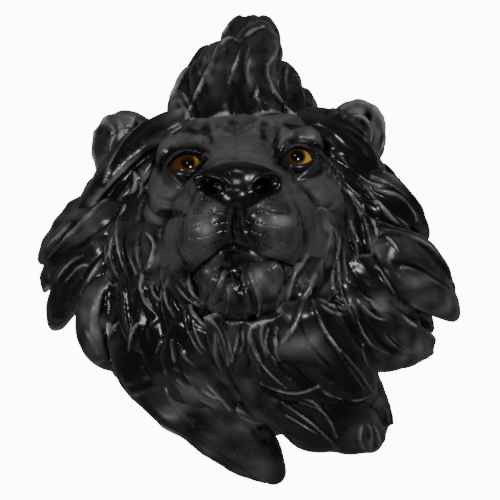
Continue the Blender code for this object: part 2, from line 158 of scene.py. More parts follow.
# Ridges of the fur in pixels: three points of a bent line, half width in mm, height in mm
FUR_RIDGES = (
    # crest
    ((263, 28), (276, 44), (268, 65), 1.4, 2.8),
    ((268, 65), (272, 88), (292, 114), 1.3, 2.6),
    ((263, 28), (251, 34), (240, 44), 1.3, 2.2),
    ((240, 44), (226, 40), (214, 58), 1.3, 2.4),
    ((214, 58), (206, 76), (186, 117), 1.5, 2.4),
    ((218, 54), (212, 66), (207, 82), 1.8, 1.2),
    ((240, 46), (237, 62), (229, 82), 1.2, 1.3),
    ((246, 42), (249, 48), (247, 58), 1.0, 1.0),
    ((252, 56), (248, 70), (250, 84), 1.3, 1.2),
    ((256, 84), (257, 92), (253, 100), 1.4, 0.9),
    ((193, 62), (182, 76), (166, 106), 1.3, 1.8),
    ((193, 62), (198, 70), (203, 80), 1.2, 1.4),
    ((212, 45), (205, 60), (199, 78), 1.3, 1.4),
    ((228, 26), (220, 38), (209, 56), 1.2, 1.6),
    ((270, 30), (279, 48), (281, 64), 1.3, 1.4),
    ((282, 76), (278, 84), (282, 96), 1.2, 1.2),
    ((295, 76), (302, 92), (308, 108), 1.6, 2.0),
    ((176, 100), (182, 106), (188, 116), 2.2, 1.6),
    # ears
    ((334, 117), (352, 101), (376, 111), 3.2, 1.6),
    ((376, 111), (386, 134), (382, 160), 3.2, 1.6),
    ((343, 118), (358, 114), (371, 126), 2.2, 2.4),
    ((371, 126), (377, 138), (372, 148), 2.0, 2.0),
    ((356, 128), (362, 132), (364, 142), 1.6, 1.6),
    ((146, 114), (124, 104), (103, 120), 3.2, 1.6),
    ((103, 120), (92, 138), (96, 168), 3.2, 1.6),
    ((108, 124), (113, 134), (108, 148), 1.8, 2.0),
    ((120, 122), (122, 132), (116, 146), 1.4, 1.6),
    ((134, 118), (130, 126), (122, 138), 1.4, 1.6),
    # bands and the fur behind them
    ((148, 120), (122, 146), (104, 182), 1.3, 2.0),
    ((345, 128), (364, 142), (379, 166), 1.4, 2.0),
    ((342, 158), (362, 178), (390, 188), 1.1, 1.5),
    ((372, 176), (390, 186), (408, 198), 1.3, 1.8),
    ((384, 172), (398, 180), (410, 188), 1.3, 1.6),
    ((376, 190), (402, 200), (416, 220), 1.4, 1.8),
    ((366, 186), (380, 206), (401, 226), 1.3, 1.8),
    ((371, 200), (386, 214), (396, 224), 1.2, 1.4),
    # right cheek
    ((345, 190), (360, 206), (366, 220), 1.3, 1.4),
    ((354, 204), (366, 226), (371, 254), 1.3, 1.8),
    ((362, 214), (374, 224), (376, 238), 1.1, 1.5),
    ((350, 222), (356, 238), (362, 246), 1.1, 1.4),
    ((326, 220), (329, 240), (314, 276), 2.2, 1.2),
    ((314, 276), (308, 290), (297, 318), 2.2, 1.2),
    ((331, 228), (337, 240), (333, 272), 1.2, 1.8),
    ((333, 272), (333, 290), (343, 301), 1.1, 1.8),
    ((341, 232), (338, 258), (340, 284), 1.2, 1.8),
    ((340, 284), (346, 304), (360, 328), 1.1, 1.6),
    ((343, 246), (345, 268), (346, 284), 1.1, 1.5),
    ((352, 240), (357, 248), (356, 260), 1.1, 1.4),
    # right side
    ((384, 236), (392, 244), (398, 252), 1.0, 1.2),
    ((404, 236), (436, 252), (452, 282), 1.8, 1.2),
    ((412, 262), (432, 274), (452, 290), 1.2, 1.4),
    ((402, 266), (430, 280), (458, 300), 1.6, 1.4),
    ((376, 266), (386, 280), (397, 298), 1.3, 1.8),
    ((380, 276), (384, 284), (390, 290), 1.1, 1.2),
    ((364, 308), (373, 316), (384, 320), 1.3, 1.6),
    ((402, 313), (407, 321), (415, 326), 1.3, 1.6),
    ((384, 334), (396, 348), (412, 353), 1.4, 1.8),
    ((391, 336), (400, 346), (411, 350), 1.1, 1.4),
    ((360, 328), (368, 342), (388, 354), 1.1, 1.6),
    ((358, 322), (364, 338), (374, 350), 1.1, 1.4),
    ((352, 305), (357, 318), (362, 345), 1.2, 1.4),
    ((362, 345), (363, 356), (368, 366), 1.2, 1.4),
    # throat, right
    ((297, 321), (291, 331), (282, 342), 1.8, 1.4),
    ((320, 300), (332, 306), (344, 309), 1.3, 1.6),
    ((321, 306), (330, 312), (342, 315), 1.2, 1.4),
    ((310, 286), (318, 318), (340, 350), 1.4, 1.6),
    ((340, 350), (352, 364), (372, 392), 1.4, 1.6),
    ((330, 338), (344, 360), (362, 388), 1.1, 1.2),
    ((262, 384), (290, 393), (318, 386), 1.5, 1.6),
    ((318, 386), (345, 399), (374, 394), 1.5, 1.6),
    ((300, 403), (322, 412), (336, 436), 1.2, 1.8),
    ((284, 404), (312, 424), (337, 448), 1.3, 1.8),
    ((286, 415), (304, 426), (324, 438), 1.1, 1.4),
    ((304, 400), (316, 404), (326, 416), 1.1, 1.4),
    ((361, 426), (359, 438), (364, 449), 1.4, 2.0),
    ((367, 424), (371, 436), (368, 449), 1.2, 1.8),
    ((373, 426), (378, 438), (375, 449), 1.2, 1.8),
    ((384, 408), (388, 414), (388, 424), 1.2, 1.4),
    # beard
    ((210, 318), (222, 336), (228, 364), 1.6, 2.2),
    ((220, 322), (229, 340), (232, 360), 1.4, 2.0),
    ((217, 334), (221, 348), (225, 360), 1.1, 1.4),
    ((238, 334), (236, 346), (232, 360), 1.2, 1.6),
    ((243, 332), (243, 345), (239, 354), 1.1, 1.4),
    ((248, 334), (249, 344), (247, 352), 1.1, 1.2),
    ((256, 326), (250, 336), (262, 362), 1.2, 1.8),
    ((262, 324), (262, 342), (268, 358), 1.2, 1.6),
    ((269, 328), (266, 346), (276, 360), 1.2, 1.6),
    ((277, 328), (275, 346), (280, 360), 1.2, 1.6),
    ((252, 340), (262, 364), (286, 388), 1.1, 1.8),
    ((272, 352), (278, 368), (290, 380), 1.1, 1.6),
    # left cheek
    ((134, 172), (136, 182), (131, 196), 1.4, 1.8),
    ((141, 184), (141, 190), (138, 198), 1.0, 1.2),
    ((132, 200), (122, 212), (118, 224), 1.3, 1.4),
    ((118, 220), (115, 232), (105, 262), 1.6, 1.8),
    ((121, 222), (118, 248), (129, 278), 1.2, 1.8),
    ((133, 232), (129, 250), (136, 273), 1.5, 2.0),
    ((147, 234), (154, 248), (146, 268), 1.3, 1.4),
    ((143, 276), (143, 294), (155, 314), 1.4, 2.0),
    ((152, 284), (153, 292), (159, 300), 1.3, 1.4),
    ((163, 284), (162, 292), (159, 300), 1.3, 1.4),
    ((168, 280), (168, 304), (188, 333), 1.2, 1.8),
    ((176, 272), (182, 292), (201, 307), 1.2, 1.8),
    ((190, 274), (192, 292), (206, 304), 1.1, 1.6),
    ((186, 312), (190, 334), (202, 353), 1.2, 1.8),
    ((193, 322), (198, 338), (206, 350), 1.1, 1.4),
    ((171, 340), (173, 352), (175, 364), 1.4, 1.4),
    ((176, 342), (184, 355), (197, 368), 1.9, 1.4),
    ((138, 324), (131, 336), (129, 350), 1.3, 1.4),
    ((158, 318), (150, 326), (148, 340), 2.4, 1.2),
    # left side
    ((110, 198), (82, 222), (50, 256), 1.5, 1.8),
    ((104, 200), (78, 218), (48, 246), 1.2, 1.2),
    ((82, 256), (68, 266), (58, 280), 1.4, 1.8),
    ((84, 264), (74, 272), (66, 282), 1.1, 1.2),
    ((104, 254), (92, 274), (80, 296), 1.6, 1.2),
    ((86, 330), (92, 342), (98, 356), 1.2, 1.2),
    # bottom left
    ((174, 368), (196, 382), (216, 400), 1.6, 1.8),
    ((178, 380), (196, 394), (216, 408), 1.3, 1.6),
    ((186, 378), (202, 390), (226, 402), 1.2, 1.4),
    ((206, 384), (218, 396), (230, 410), 1.1, 1.4),
    ((228, 408), (246, 416), (263, 437), 2.0, 1.8),
    ((166, 388), (176, 406), (192, 424), 2.2, 1.6),
    ((162, 424), (176, 432), (190, 440), 1.3, 1.2),
)
# Long hollows between the slabs of fur, in pixels: bent line, half width in mm, depth in mm
FUR_VALLEYS = (
    ((118, 214), (84, 240), (50, 266), 3.6, 3.0),
    ((112, 246), (88, 268), (70, 300), 3.4, 2.4),
    ((112, 288), (110, 316), (120, 346), 6.5, 5.0),
    ((205, 372), (236, 404), (266, 440), 4.0, 3.5),
    ((132, 390), (150, 384), (168, 380), 3.0, 2.0),
    ((300, 366), (330, 374), (352, 384), 5.0, 2.4),
    ((352, 268), (366, 292), (380, 314), 4.0, 3.0),
    ((356, 300), (372, 330), (392, 352), 2.0, 1.4),
    ((396, 262), (424, 270), (452, 292), 1.6, 1.6),
    ((374, 226), (400, 226), (428, 240), 2.2, 2.0),
    ((336, 172), (360, 190), (372, 200), 2.0, 1.6),
    ((392, 302), (416, 318), (440, 322), 2.2, 2.0),
    ((300, 324), (318, 352), (338, 372), 1.8, 1.2),
)

# Patches of satin grey and painted sheen in pixels, with painted highlights where the amount passes 0.9:
# centre, half sizes, amount
SATIN_AND_SHEEN_PATCHES = (
    ((96, 322), (15, 36), 1.1),
    ((205, 394), (36, 14), 1.4),
    ((246, 424), (22, 12), 1.4),
    ((178, 404), (16, 14), 1.3),
    ((75, 224), (34, 18), 0.8),
    ((48, 250), (10, 18), 0.6),
    ((110, 245), (10, 20), 0.5),
    ((140, 250), (14, 28), 0.6),
    ((160, 264), (18, 24), 0.9),
    ((435, 308), (32, 16), 1.3),
    ((416, 350), (30, 14), 1.2),
    ((424, 244), (36, 14), 0.5),
    ((205, 231), (6, 10), 1.7),
    ((283, 221), (12, 6), 2.1),
    ((328, 240), (16, 44), 0.9),
    ((178, 104), (12, 16), 0.9),
    ((274, 66), (6, 44), 0.8),
    ((212, 68), (8, 18), 0.9),
    ((250, 72), (4, 16), 0.9),
    ((232, 72), (4, 12), 0.8),
    ((180, 143), (20, 4), 0.7),
    ((306, 137), (18, 5), 0.7),
    ((272, 288), (22, 20), 1.4),
    ((211, 292), (9, 26), 0.7),
    ((302, 344), (20, 12), 1.6),
    ((366, 438), (14, 14), 0.9),
    ((385, 305), (16, 9), 1.6),
    ((415, 281), (16, 7), 1.6),
    ((376, 246), (6, 10), 1.6),
    ((236, 346), (30, 22), 0.6),
    ((380, 402), (8, 26), 0.9),
    ((225, 450), (44, 14), 0.5),
    ((262, 468), (18, 12), 0.9),
    ((392, 186), (18, 8), 0.8),
    ((238, 148), (26, 13), 1.2),
    ((228, 292), (9, 8), 1.2),
    ((345, 305), (12, 9), 0.9),
)

# Places of the face in pixels where the paint is glossier and shade is painted darker: centre, half sizes,
# how far they take the satin away
FACE_GLOSS_AND_SHADE = (
    ((165, 200), (20, 26), 0.15),
    ((318, 196), (20, 30), 0.2),
    ((172, 236), (12, 24), 0.25),
    ((307, 230), (9, 26), 0.25),
    ((236, 226), (24, 30), 0.6),
    ((186, 163), (26, 20), 1.0),
    ((302, 158), (27, 19), 1.0),
    ((200, 232), (22, 26), 0.5),
    ((276, 226), (26, 26), 0.55),
    ((188, 129), (15, 8), 0.7),
    ((298, 127), (17, 8), 0.7),
    ((240, 119), (15, 5), 0.6),
    ((207, 134), (5, 12), 0.5),
    ((265, 134), (6, 14), 0.6),
    ((276, 132), (4, 10), 0.5),
    ((168, 213), (13, 4), 0.8),
    ((238, 240), (28, 24), 0.7),
    ((198, 200), (8, 12), 0.3),
    ((278, 208), (14, 10), 0.3),
    ((236, 212), (10, 12), 0.3),
)

# Fur of the chin: root, bend and tip in pixels, then width and thickness in mm
CHIN_FUR = (
    ((217, 265), (206, 290), (205, 315), 13, 10, 1),
    ((225, 270), (217, 292), (214, 316), 11, 8, 1),
    ((203, 273), (198, 290), (200, 310), 10, 8, 1),
    ((229, 284), (234, 298), (231, 316), 13, 9, 1),
    ((243, 288), (246, 300), (247, 317), 13, 9, 1),
    ((248, 272), (253, 292), (256, 316), 11, 9, 1),
    ((254, 266), (266, 286), (268, 316), 12, 9, 1),
    ((262, 265), (276, 283), (281, 312), 12, 9, 1),
    ((271, 266), (285, 281), (292, 306), 11, 8, 1),
    ((281, 268), (292, 279), (300, 298), 11, 8, 1),
)
# How far their root, bend and tip lie in the skin, in mm
CHIN_SINK = (4.0, 0.5, 3.0)

# Locks of the mane: root, bend, tip, width and thickness in mm, then the number of strands
CREST = (
    ((19, 97, 46), (11, 80, 106), (20, 40, 174), 38, 26, 1),
    ((-13, 97, 46), (-16, 82, 100), (-4, 57, 145), 36, 26, 1),
    ((4, 98, 46), (0, 84, 96), (8, 54, 152), 26, 18, 1),
    ((-44, 86, 56), (-38, 72, 89), (-28, 58, 127), 24, 20, 1),
    ((37, 88, 50), (35, 73, 88), (31, 49, 130), 25, 20, 1),
    ((-24, 74, 84), (-27, 58, 118), (-23, 45, 152), 25, 22, 1),
    ((-6, 52, 118), (-3, 38, 154), (4, 22, 195), 20, 24, 1),
    ((16, 52, 120), (20, 36, 156), (20, 20, 194), 27, 26, 1),
    ((8, 54, 118), (9, 38, 156), (12, 20, 195), 22, 26, 1),
    ((46, 78, 50), (46, 66, 76), (41, 52, 102), 23, 20, 1),
    ((54, 64, 54), (54, 56, 66), (50, 50, 78), 18, 16, 1),
    ((-33, 92, 50), (-40, 84, 70), (-41, 74, 90), 18, 16, 1),
)
BANDS = (
    ((-36, 90, 57), (-86, 78, 34), (-138, 24, -12), 38, 20, 0),
    ((-58, 86, 34), (-80, 78, 14), (-100, 60, -14), 24, 16, 1),
    ((42, 88, 50), (74, 82, 37), (101, 50, 9), 40, 20, 0),
    ((62, 86, 34), (78, 80, 18), (97, 56, -2), 26, 16, 1),
    ((60, 86, 16), (73, 82, -2), (88, 72, -18), 24, 16, 1),
)
LEFT_SIDE = (
    ((-87, 56, 33), (-106, 52, 29), (-119, 34, 21), 22, 18, 0),
    ((-92, 60, 18), (-123, 50, 5), (-151, 22, -11), 38, 20, 0),
    ((-80, 76, -8), (-112, 64, -14), (-152, 16, -32), 31, 18, 0),
    ((-87, 70, -35), (-115, 56, -39), (-144, 14, -62), 43, 20, 0),
    ((-96, 66, -56), (-111, 56, -82), (-95, 36, -111), 27, 20, 0),
    ((-90, 66, -64), (-94, 56, -88), (-86, 22, -111), 42, 22, 0),
    ((-66, 92, -78), (-62, 84, -110), (-56, 56, -136), 30, 24, 1),
    ((-60, 80, -84), (-77, 62, -112), (-60, 18, -136), 46, 26, 0),
    ((-87, 46, -104), (-50, 50, -148), (12, 6, -187), 36, 26, 0),
    ((-64, 52, -132), (-21, 44, -161), (12, 6, -188), 37, 26, 0),
    ((-60, 86, -117), (-26, 72, -140), (3, 40, -168), 30, 22, 1),
)
BEARD = (
    ((-20, 146, -128), (-15, 128, -140), (-14, 98, -150), 20, 12, 2),
    ((11, 148, -134), (15, 124, -145), (23, 94, -158), 34, 16, 3),
    ((-3, 146, -133), (-2, 124, -142), (-4, 100, -149), 24, 12, 3),
    ((-26, 128, -122), (-40, 100, -136), (-34, 60, -152), 36, 22, 0),
    ((-22, 126, -128), (-22, 92, -146), (0, 46, -166), 40, 24, 0),
    ((0, 124, -134), (10, 92, -154), (30, 50, -168), 40, 24, 0),
    ((4, 112, -140), (30, 98, -150), (58, 72, -158), 42, 30, 0),
)
RIGHT_SIDE = (
    ((18, 128, -132), (47, 108, -140), (76, 50, -152), 46, 30, 0),
    ((39, 112, -99), (59, 90, -127), (92, 20, -158), 24, 18, 0),
    ((-8, 70, -148), (34, 74, -164), (82, 14, -168), 50, 32, 0),
    ((46, 60, -142), (62, 44, -152), (86, 14, -161), 26, 24, 0),
    ((59, 96, -89), (76, 76, -116), (127, 14, -95), 44, 24, 1),
    ((72, 88, -66), (88, 74, -88), (115, 36, -98), 40, 22, 1),
    ((84, 60, -68), (106, 48, -76), (124, 14, -86), 26, 20, 0),
    ((86, 78, -60), (113, 64, -66), (144, 14, -74), 48, 24, 0),
    ((83, 76, -41), (112, 66, -46), (144, 20, -62), 27, 20, 0),
    ((77, 74, 6), (107, 62, -4), (125, 24, -24), 29, 18, 0),
    ((75, 80, -12), (97, 70, -21), (113, 50, -26), 26, 16, 2),
    ((86, 58, 25), (104, 48, 20), (117, 28, 10), 24, 16, 1),
)
CHEEKS = (
    ((55, 96, -26), (61, 100, -62), (36, 128, -125), 20, 14, 2),
    ((66, 88, -20), (69, 92, -58), (66, 82, -97), 24, 14, 2),
    ((74, 80, -22), (84, 82, -46), (90, 66, -56), 22, 12, 2),
    ((80, 70, 0), (90, 74, -18), (100, 62, -38), 24, 12, 2),
    ((48, 94, -30), (54, 100, -58), (38, 104, -108), 26, 20, 1),
    ((60, 84, -8), (71, 86, -40), (74, 78, -76), 24, 16, 1),
    ((-55, 96, -32), (-49, 104, -70), (-24, 130, -126), 20, 14, 2),
    ((-63, 90, -24), (-68, 96, -58), (-58, 96, -94), 24, 14, 2),
    ((-76, 80, -8), (-88, 80, -38), (-80, 74, -68), 22, 14, 2),
    ((-52, 92, -30), (-58, 98, -56), (-52, 94, -92), 28, 20, 1),
    ((-46, 98, -48), (-49, 104, -72), (-40, 98, -104), 24, 18, 1),
    ((-66, 80, 0), (-74, 86, -30), (-70, 84, -70), 24, 16, 1),
    ((-47, 110, -92), (-42, 104, -116), (-30, 92, -138), 24, 14, 2),
    ((-70, 90, -56), (-75, 86, -88), (-62, 70, -118), 30, 18, 2),
    ((-66, 80, 12), (-82, 78, -4), (-88, 70, -24), 22, 12, 2),
    ((44, 100, -80), (46, 104, -104), (38, 100, -128), 26, 18, 2),
    ((52, 100, -34), (46, 112, -84), (33, 108, -116), 20, 18, 1),
    ((38, 108, -72), (36, 118, -92), (28, 118, -112), 24, 20, 1),
    ((-46, 104, -60), (-44, 112, -82), (-32, 112, -106), 24, 20, 1),
    ((44, 112, -78), (37, 126, -98), (26, 130, -118), 24, 22, 1),
    ((-46, 110, -74), (-39, 124, -96), (-27, 126, -118), 20, 20, 1),
)
# Locks turn their broad side away from a point, and rather to the front than to the sides
MANE_AXIS, MANE_TURN = np.array((0.0, -20.0, -30.0)), np.array((0.75, 1.0, 0.6))
# Height of a strand's edge over the next, grain of the fused skin in mm, and softening passes
STRAND_RISE, MANE_GRAIN, MANE_SOFTENING = 3.2, 1.2, 3

# The mound under the mane: centre and half sizes, mirrored where x is over 10
MOUNDS = (
    ((-6, 0, -32), (110, 90, 120)),
    ((60, 26, -12), (64, 48, 60)),
    ((44, 34, -82), (52, 50, 44)),
    ((56, 12, 58), (46, 50, 44)),
    ((0, 48, -90), (60, 80, 52)),
    ((28, 40, -122), (50, 50, 36)),
    ((4, 0, 84), (46, 58, 90)),
    ((2, 40, 66), (44, 50, 52)),
)
# The slot in the back that hangs on a screw, and a circle on the back round it and the middle
SLOT_WIDTH, SLOT_LENGTH, SLOT_DEPTH, SLOT_Z = 10.0, 26.0, 12.0, 96.0
SLOT_EDGE = 0.5
BACK_CIRCLE_Z, BACK_CIRCLE_RADIUS = 66.0, 50.0
MOUND_MIDDLE = (0.0, 0.0, 20.0)
MOUND_BLEND = 8

# Short locks round the foot of the mound: places for root, bend and tip, then their size
FOOT_LOCKS = 26
FOOT_REACH = (0.62, 0.88, 1.0)
FOOT_OUT = (76.0, 55.0, 8.0)
FOOT_SWEEP = (0.0, 4.0, 12.0)
FOOT_SIZE = (30.0, 22.0, 1)
FOOT_CENTRE_X, FOOT_CENTRE_Z = -5.0, -31.0
FOOT_WIDTH, FOOT_HEIGHT = 111.0, 119.0

# Ears: centre, half width, half height, thickness, turn in degrees
EARS = {
    "left": ((-80.0, 34.0, 63.0), 33.0, 43.0, 17.0, -30.0),
    "right": ((79.2, 34.0, 65.5), 28.0, 35.5, 17.0, 26.0),
}
# Depth of an ear's relief as a share of its thickness
EAR_CUP = 0.62

# Colours of the paint: its two blacks, the satin grey of painted sheen, and the light grey of painted
# highlights on ridges
PAINT_BLACKS = ((0.0040, 0.0040, 0.0043, 1.0), (0.0080, 0.0079, 0.0078, 1.0))
PAINT_SATIN_SHEEN, PAINT_HIGHLIGHT = (0.11, 0.11, 0.112, 1.0), (0.40, 0.40, 0.405, 1.0)
# Colours of the eyes: brown fibres, the amber of a painted glow on one side, the dark ring round the iris,
# and the pupil
IRIS_BROWNS = ((0.045, 0.016, 0.005, 1.0), (0.16, 0.058, 0.012, 1.0))
IRIS_AMBER, IRIS_RING = (1.0, 0.62, 0.09, 1.0), (0.006, 0.0055, 0.005, 1.0)
PUPIL_BLACK = (0.004, 0.003, 0.003, 1.0)

# Studio: the floor, the surround's strength before and behind, and to the camera, and the lights
# as name, degrees round and up, distance, size and power
FLOOR_HALF, FLOOR_LEVEL = 0.9, -1.3
GLOW_BEFORE, GLOW_BEHIND, GLOW_SEEN = 0.07, 0.15, 12.0
LIGHTS = (
    ("key_light", 26, 2, 1.6, 0.24, 9),
    ("fill_light", -34, -16, 1.6, 0.36, 8),
    ("eye_light", 4, 30, 1.6, 0.14, 1.6),
    ("top_light", 10, 80, 1.5, 1.0, 0.4),
)


# Where things lie in the photograph

def view_axes():
    """The unit vectors right, up and towards the viewer of the photograph, in (x, y, z)."""
    round_, up_ = math.radians(VIEW_AZIMUTH), math.radians(VIEW_ELEVATION)
    lean = math.radians(VIEW_LEAN)
    back = np.array((math.sin(round_) * math.cos(up_), -math.cos(round_) * math.cos(up_), math.sin(up_)))
    level = np.array((math.cos(round_), math.sin(round_), 0.0))
    upright = np.cross(back, level)
    right = level * math.cos(lean) - upright * math.sin(lean)
    up = level * math.sin(lean) + upright * math.cos(lean)
    return right, up, back


RIGHT, UP, BACK = view_axes()


def seen(points):
    """Pixel of each point: its offset across and up the view, shrunk by its distance."""
    turned = points * FLIP
    scale = PIXELS_PER_MM * VIEW_DISTANCE / (VIEW_DISTANCE - turned @ BACK)
    return np.stack([PICTURE_SIDE / 2 + turned @ RIGHT * scale,
                     PICTURE_SIDE / 2 - turned @ UP * scale], -1)


# Distances to simple forms, in mm

def oval(points, centre, radii, pitch=0.0):
    """Nearly the distance to an ellipsoid: the scaled radius less one, over its own slope."""
    offset = points - np.array(centre, np.float32)
    if pitch:
        turn = math.radians(pitch)
        out, z = offset[..., 1], offset[..., 2]
        offset = np.stack([offset[..., 0], out * math.cos(turn) + z * math.sin(turn),
                           z * math.cos(turn) - out * math.sin(turn)], -1)
    radii = np.array(radii, np.float32)
    level = np.sqrt(((offset / radii) ** 2).sum(-1)) + 1e-6
    slope = np.sqrt(((offset / radii ** 2) ** 2).sum(-1)) + 1e-9
    return level * (level - 1) / slope


def roll(points, start, end, radii):
    """Distance to a bar with round ends whose radius changes evenly along it."""
    start, end = np.array(start, np.float32), np.array(end, np.float32)
    along = end - start
    share = np.clip((points - start) @ along / (along @ along), 0, 1)
    near = start + share[..., None] * along
    return np.linalg.norm(points - near, axis=-1) - (radii[0] + (radii[1] - radii[0]) * share)


def merge(first, second, reach):
    """The smaller of two distances, rounded over where they are within reach of each other."""
    if not reach:
        return np.minimum(first, second)
    share = np.clip(0.5 + 0.5 * (second - first) / reach, 0, 1)
    return second + (first - second) * share - reach * share * (1 - share)


def fold(points):
    """The points with the mask's left side laid on its right."""
    folded = np.array(points)
    folded[..., 0] = np.abs(folded[..., 0])
    return folded


def face_distance(points):
    """Distance to the face: its ovals and rolls merged one after another, the same on both sides."""
    folded = fold(points)
    total = None
    for centre, radii, pitch, reach in FACE_OVALS[:OVALS_BEFORE_ROLLS]:
        one = oval(folded, centre, radii, pitch)
        total = one if total is None else merge(total, one, reach)
    for start, end, radii, reach in FACE_ROLLS:
        total = merge(total, roll(folded, start, end, radii), reach)
    for centre, radii, pitch, reach in FACE_OVALS[OVALS_BEFORE_ROLLS:]:
        total = merge(total, oval(folded, centre, radii, pitch), reach)
    return total


def mound_distance(points):
    """Distance to the mound under the mane: its ovals merged one after another."""
    folded = fold(points)
    total = None
    for centre, radii in MOUNDS:
        one = oval(folded if centre[0] > 10 else points, centre, radii)
        total = one if total is None else merge(total, one, MOUND_BLEND)
    return total


def reach_surface(origins, headings, distance, start, steps=46, stride=0.86):
    """Walk in along rays from start mm out, by most of the distance left, until the surface."""
    length = np.full(headings.shape[:-1], start, np.float32)
    for _ in range(steps):
        gap = distance(origins + length[..., None] * headings)
        length = np.maximum(length - stride * gap, 2.0)
    return origins + length[..., None] * headings


def waves(points, size, seed, count=12):
    """Smooth noise of about -1 to 1: a sum of sine waves of random heading, about size mm long."""
    draw = np.random.default_rng(seed)
    heading = draw.normal(size=(count, 3))
    heading /= np.linalg.norm(heading, axis=1, keepdims=True)
    length = np.asarray(size) * draw.uniform(0.7, 1.5, (count, 1))
    phase = draw.uniform(0, 2 * math.pi, count)
    total = np.sin(points @ (heading * 2 * math.pi / length).T + phase).sum(-1)
    return total * 1.2 / math.sqrt(count)


def bell(value, width):
    """A bump of height 1 that falls off over width."""
    return np.exp(-(value / width) ** 2)


def ease(value):
    """0 below 0, 1 above 1 and a smooth climb between."""
    share = np.clip(value, 0, 1)
    return share * share * (3 - 2 * share)


# Meshes

def grid_triangles(rows, columns, steps):
    """Triangles of a grid closed round its columns, and round its rows where steps equals rows."""
    row, column = np.meshgrid(np.arange(steps), np.arange(columns), indexing="ij")
    below, following = (row + 1) % rows, (column + 1) % columns
    a, b = row * columns + column, row * columns + following
    c, d = below * columns + following, below * columns + column
    return np.concatenate([np.stack([a, b, c], -1).reshape(-1, 3), np.stack([a, c, d], -1).reshape(-1, 3)])


def tube_triangles(rows, columns):
    """Triangles of a grid closed round its columns, and the fans to a pole at either end."""
    side = grid_triangles(rows, columns, rows - 1)
    ring, ahead = np.arange(columns), (np.arange(columns) + 1) % columns
    last = (rows - 1) * columns
    first_fan = np.stack([np.full(columns, rows * columns), ahead, ring], -1)
    last_fan = np.stack([np.full(columns, rows * columns + 1), last + ring, last + ahead], -1)
    return np.concatenate([side, first_fan, last_fan])


def outwards(points, triangles):
    """The points and triangles of a closed skin, turned over where its volume comes out negative."""
    corners = (points * FLIP)[triangles]
    volume = np.einsum("ij,ij->i", corners[:, 0], np.cross(corners[:, 1], corners[:, 2])).sum()
    return points, triangles if volume > 0 else triangles[:, ::-1]


def closed_tube(grid, first_pole, last_pole):
    """Points and triangles of a closed tube, with a pole at either end."""
    points = np.concatenate([grid.reshape(-1, 3), [first_pole], [last_pole]])
    return outwards(points, tube_triangles(*grid.shape[:2]))


def join(parts):
    """The points and triangles of several skins as one list of each."""
    points = np.concatenate([part[0] for part in parts])
    offsets = np.cumsum([0] + [len(part[0]) for part in parts[:-1]])
    return points, np.concatenate([part[1] + offset for part, offset in zip(parts, offsets)])


def make_piece(name, parts, material, replaced, satin_and_sheen=None, marks=None):
    """One object from closed skins, with the paint's share of satin grey and painted sheen, and other
    marks, at each point.
    """
    points, triangles = join(parts)
    mesh = bpy.data.meshes.new(name)
    mesh.from_pydata(points * FLIP * MM, [], triangles)
    mesh.shade_smooth()
    for label, values in {"satin_and_sheen": satin_and_sheen, **(marks or {})}.items():
        if values is not None:
            mesh.attributes.new(label, "FLOAT", "POINT").data.foreach_set(
                "value", np.broadcast_to(values, len(points)).astype(np.float32))
    mesh.materials.append(material)
    piece = bpy.data.objects.new(name, mesh)
    bpy.context.scene.collection.objects.link(piece)
    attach(piece, "root")
    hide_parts(replaced)
    return piece


# The face

def beside(places, line):
    """Distance in pixels from each place to a bent line through three, and the share along it."""
    start, middle, end = (np.array(point, float) for point in line)
    handle = 2 * middle - (start + end) / 2
    share = np.linspace(0, 1, 41)
    path = (np.outer((1 - share) ** 2, start) + np.outer(2 * share * (1 - share), handle)
            + np.outer(share ** 2, end))
    gaps = np.linalg.norm(places[:, None] - path[None], axis=2)
    nearest = gaps.argmin(1)
    return gaps[np.arange(len(places)), nearest], share[nearest]


def line_heights(places, lines):
    """Height of the ridges beside bent lines: a bell across each, lower towards its two ends."""
    total = np.zeros(len(places))
    for *line, half_width, height in lines:
        corners = np.array(line, float)
        margin = 2.6 * half_width * PIXELS_PER_MM + 2
        near = ((places > corners.min(0) - margin) & (places < corners.max(0) + margin)).all(1)
        gap, share = beside(places[near], line)
        fade = 0.3 + 0.7 * np.sin(math.pi * np.clip(share, 0.02, 0.98)) ** 0.5
        total[near] += height * fade * bell(gap / PIXELS_PER_MM, half_width)
    return total


def opening_axes(outer, inner):
    """Where a lid opening starts, how long it is, and the directions along it and down from it."""
    outer, inner = np.array(outer, float), np.array(inner, float)
    length = np.linalg.norm(inner - outer)
    along = (inner - outer) / length
    downward = np.array((-along[1], along[0]))
    return outer, length, along, downward * np.sign(downward[1])


def opening_depth(places, outer, inner, rise, drop):
    """How far inside the lids' opening a place lies, in pixels: below one arc and above another."""
    outer, length, along, downward = opening_axes(outer, inner)
    offset = places - outer
    share = np.clip(offset @ along / length, 0, 1)
    height = offset @ downward
    bow = np.sin(math.pi * share ** LID_SKEW)
    inside = np.minimum(height + rise * bow ** LID_ROUNDNESS, drop * bow - height)
    off_ends = np.minimum(offset @ along, length - offset @ along)
    return np.minimum(inside, off_ends + 2)


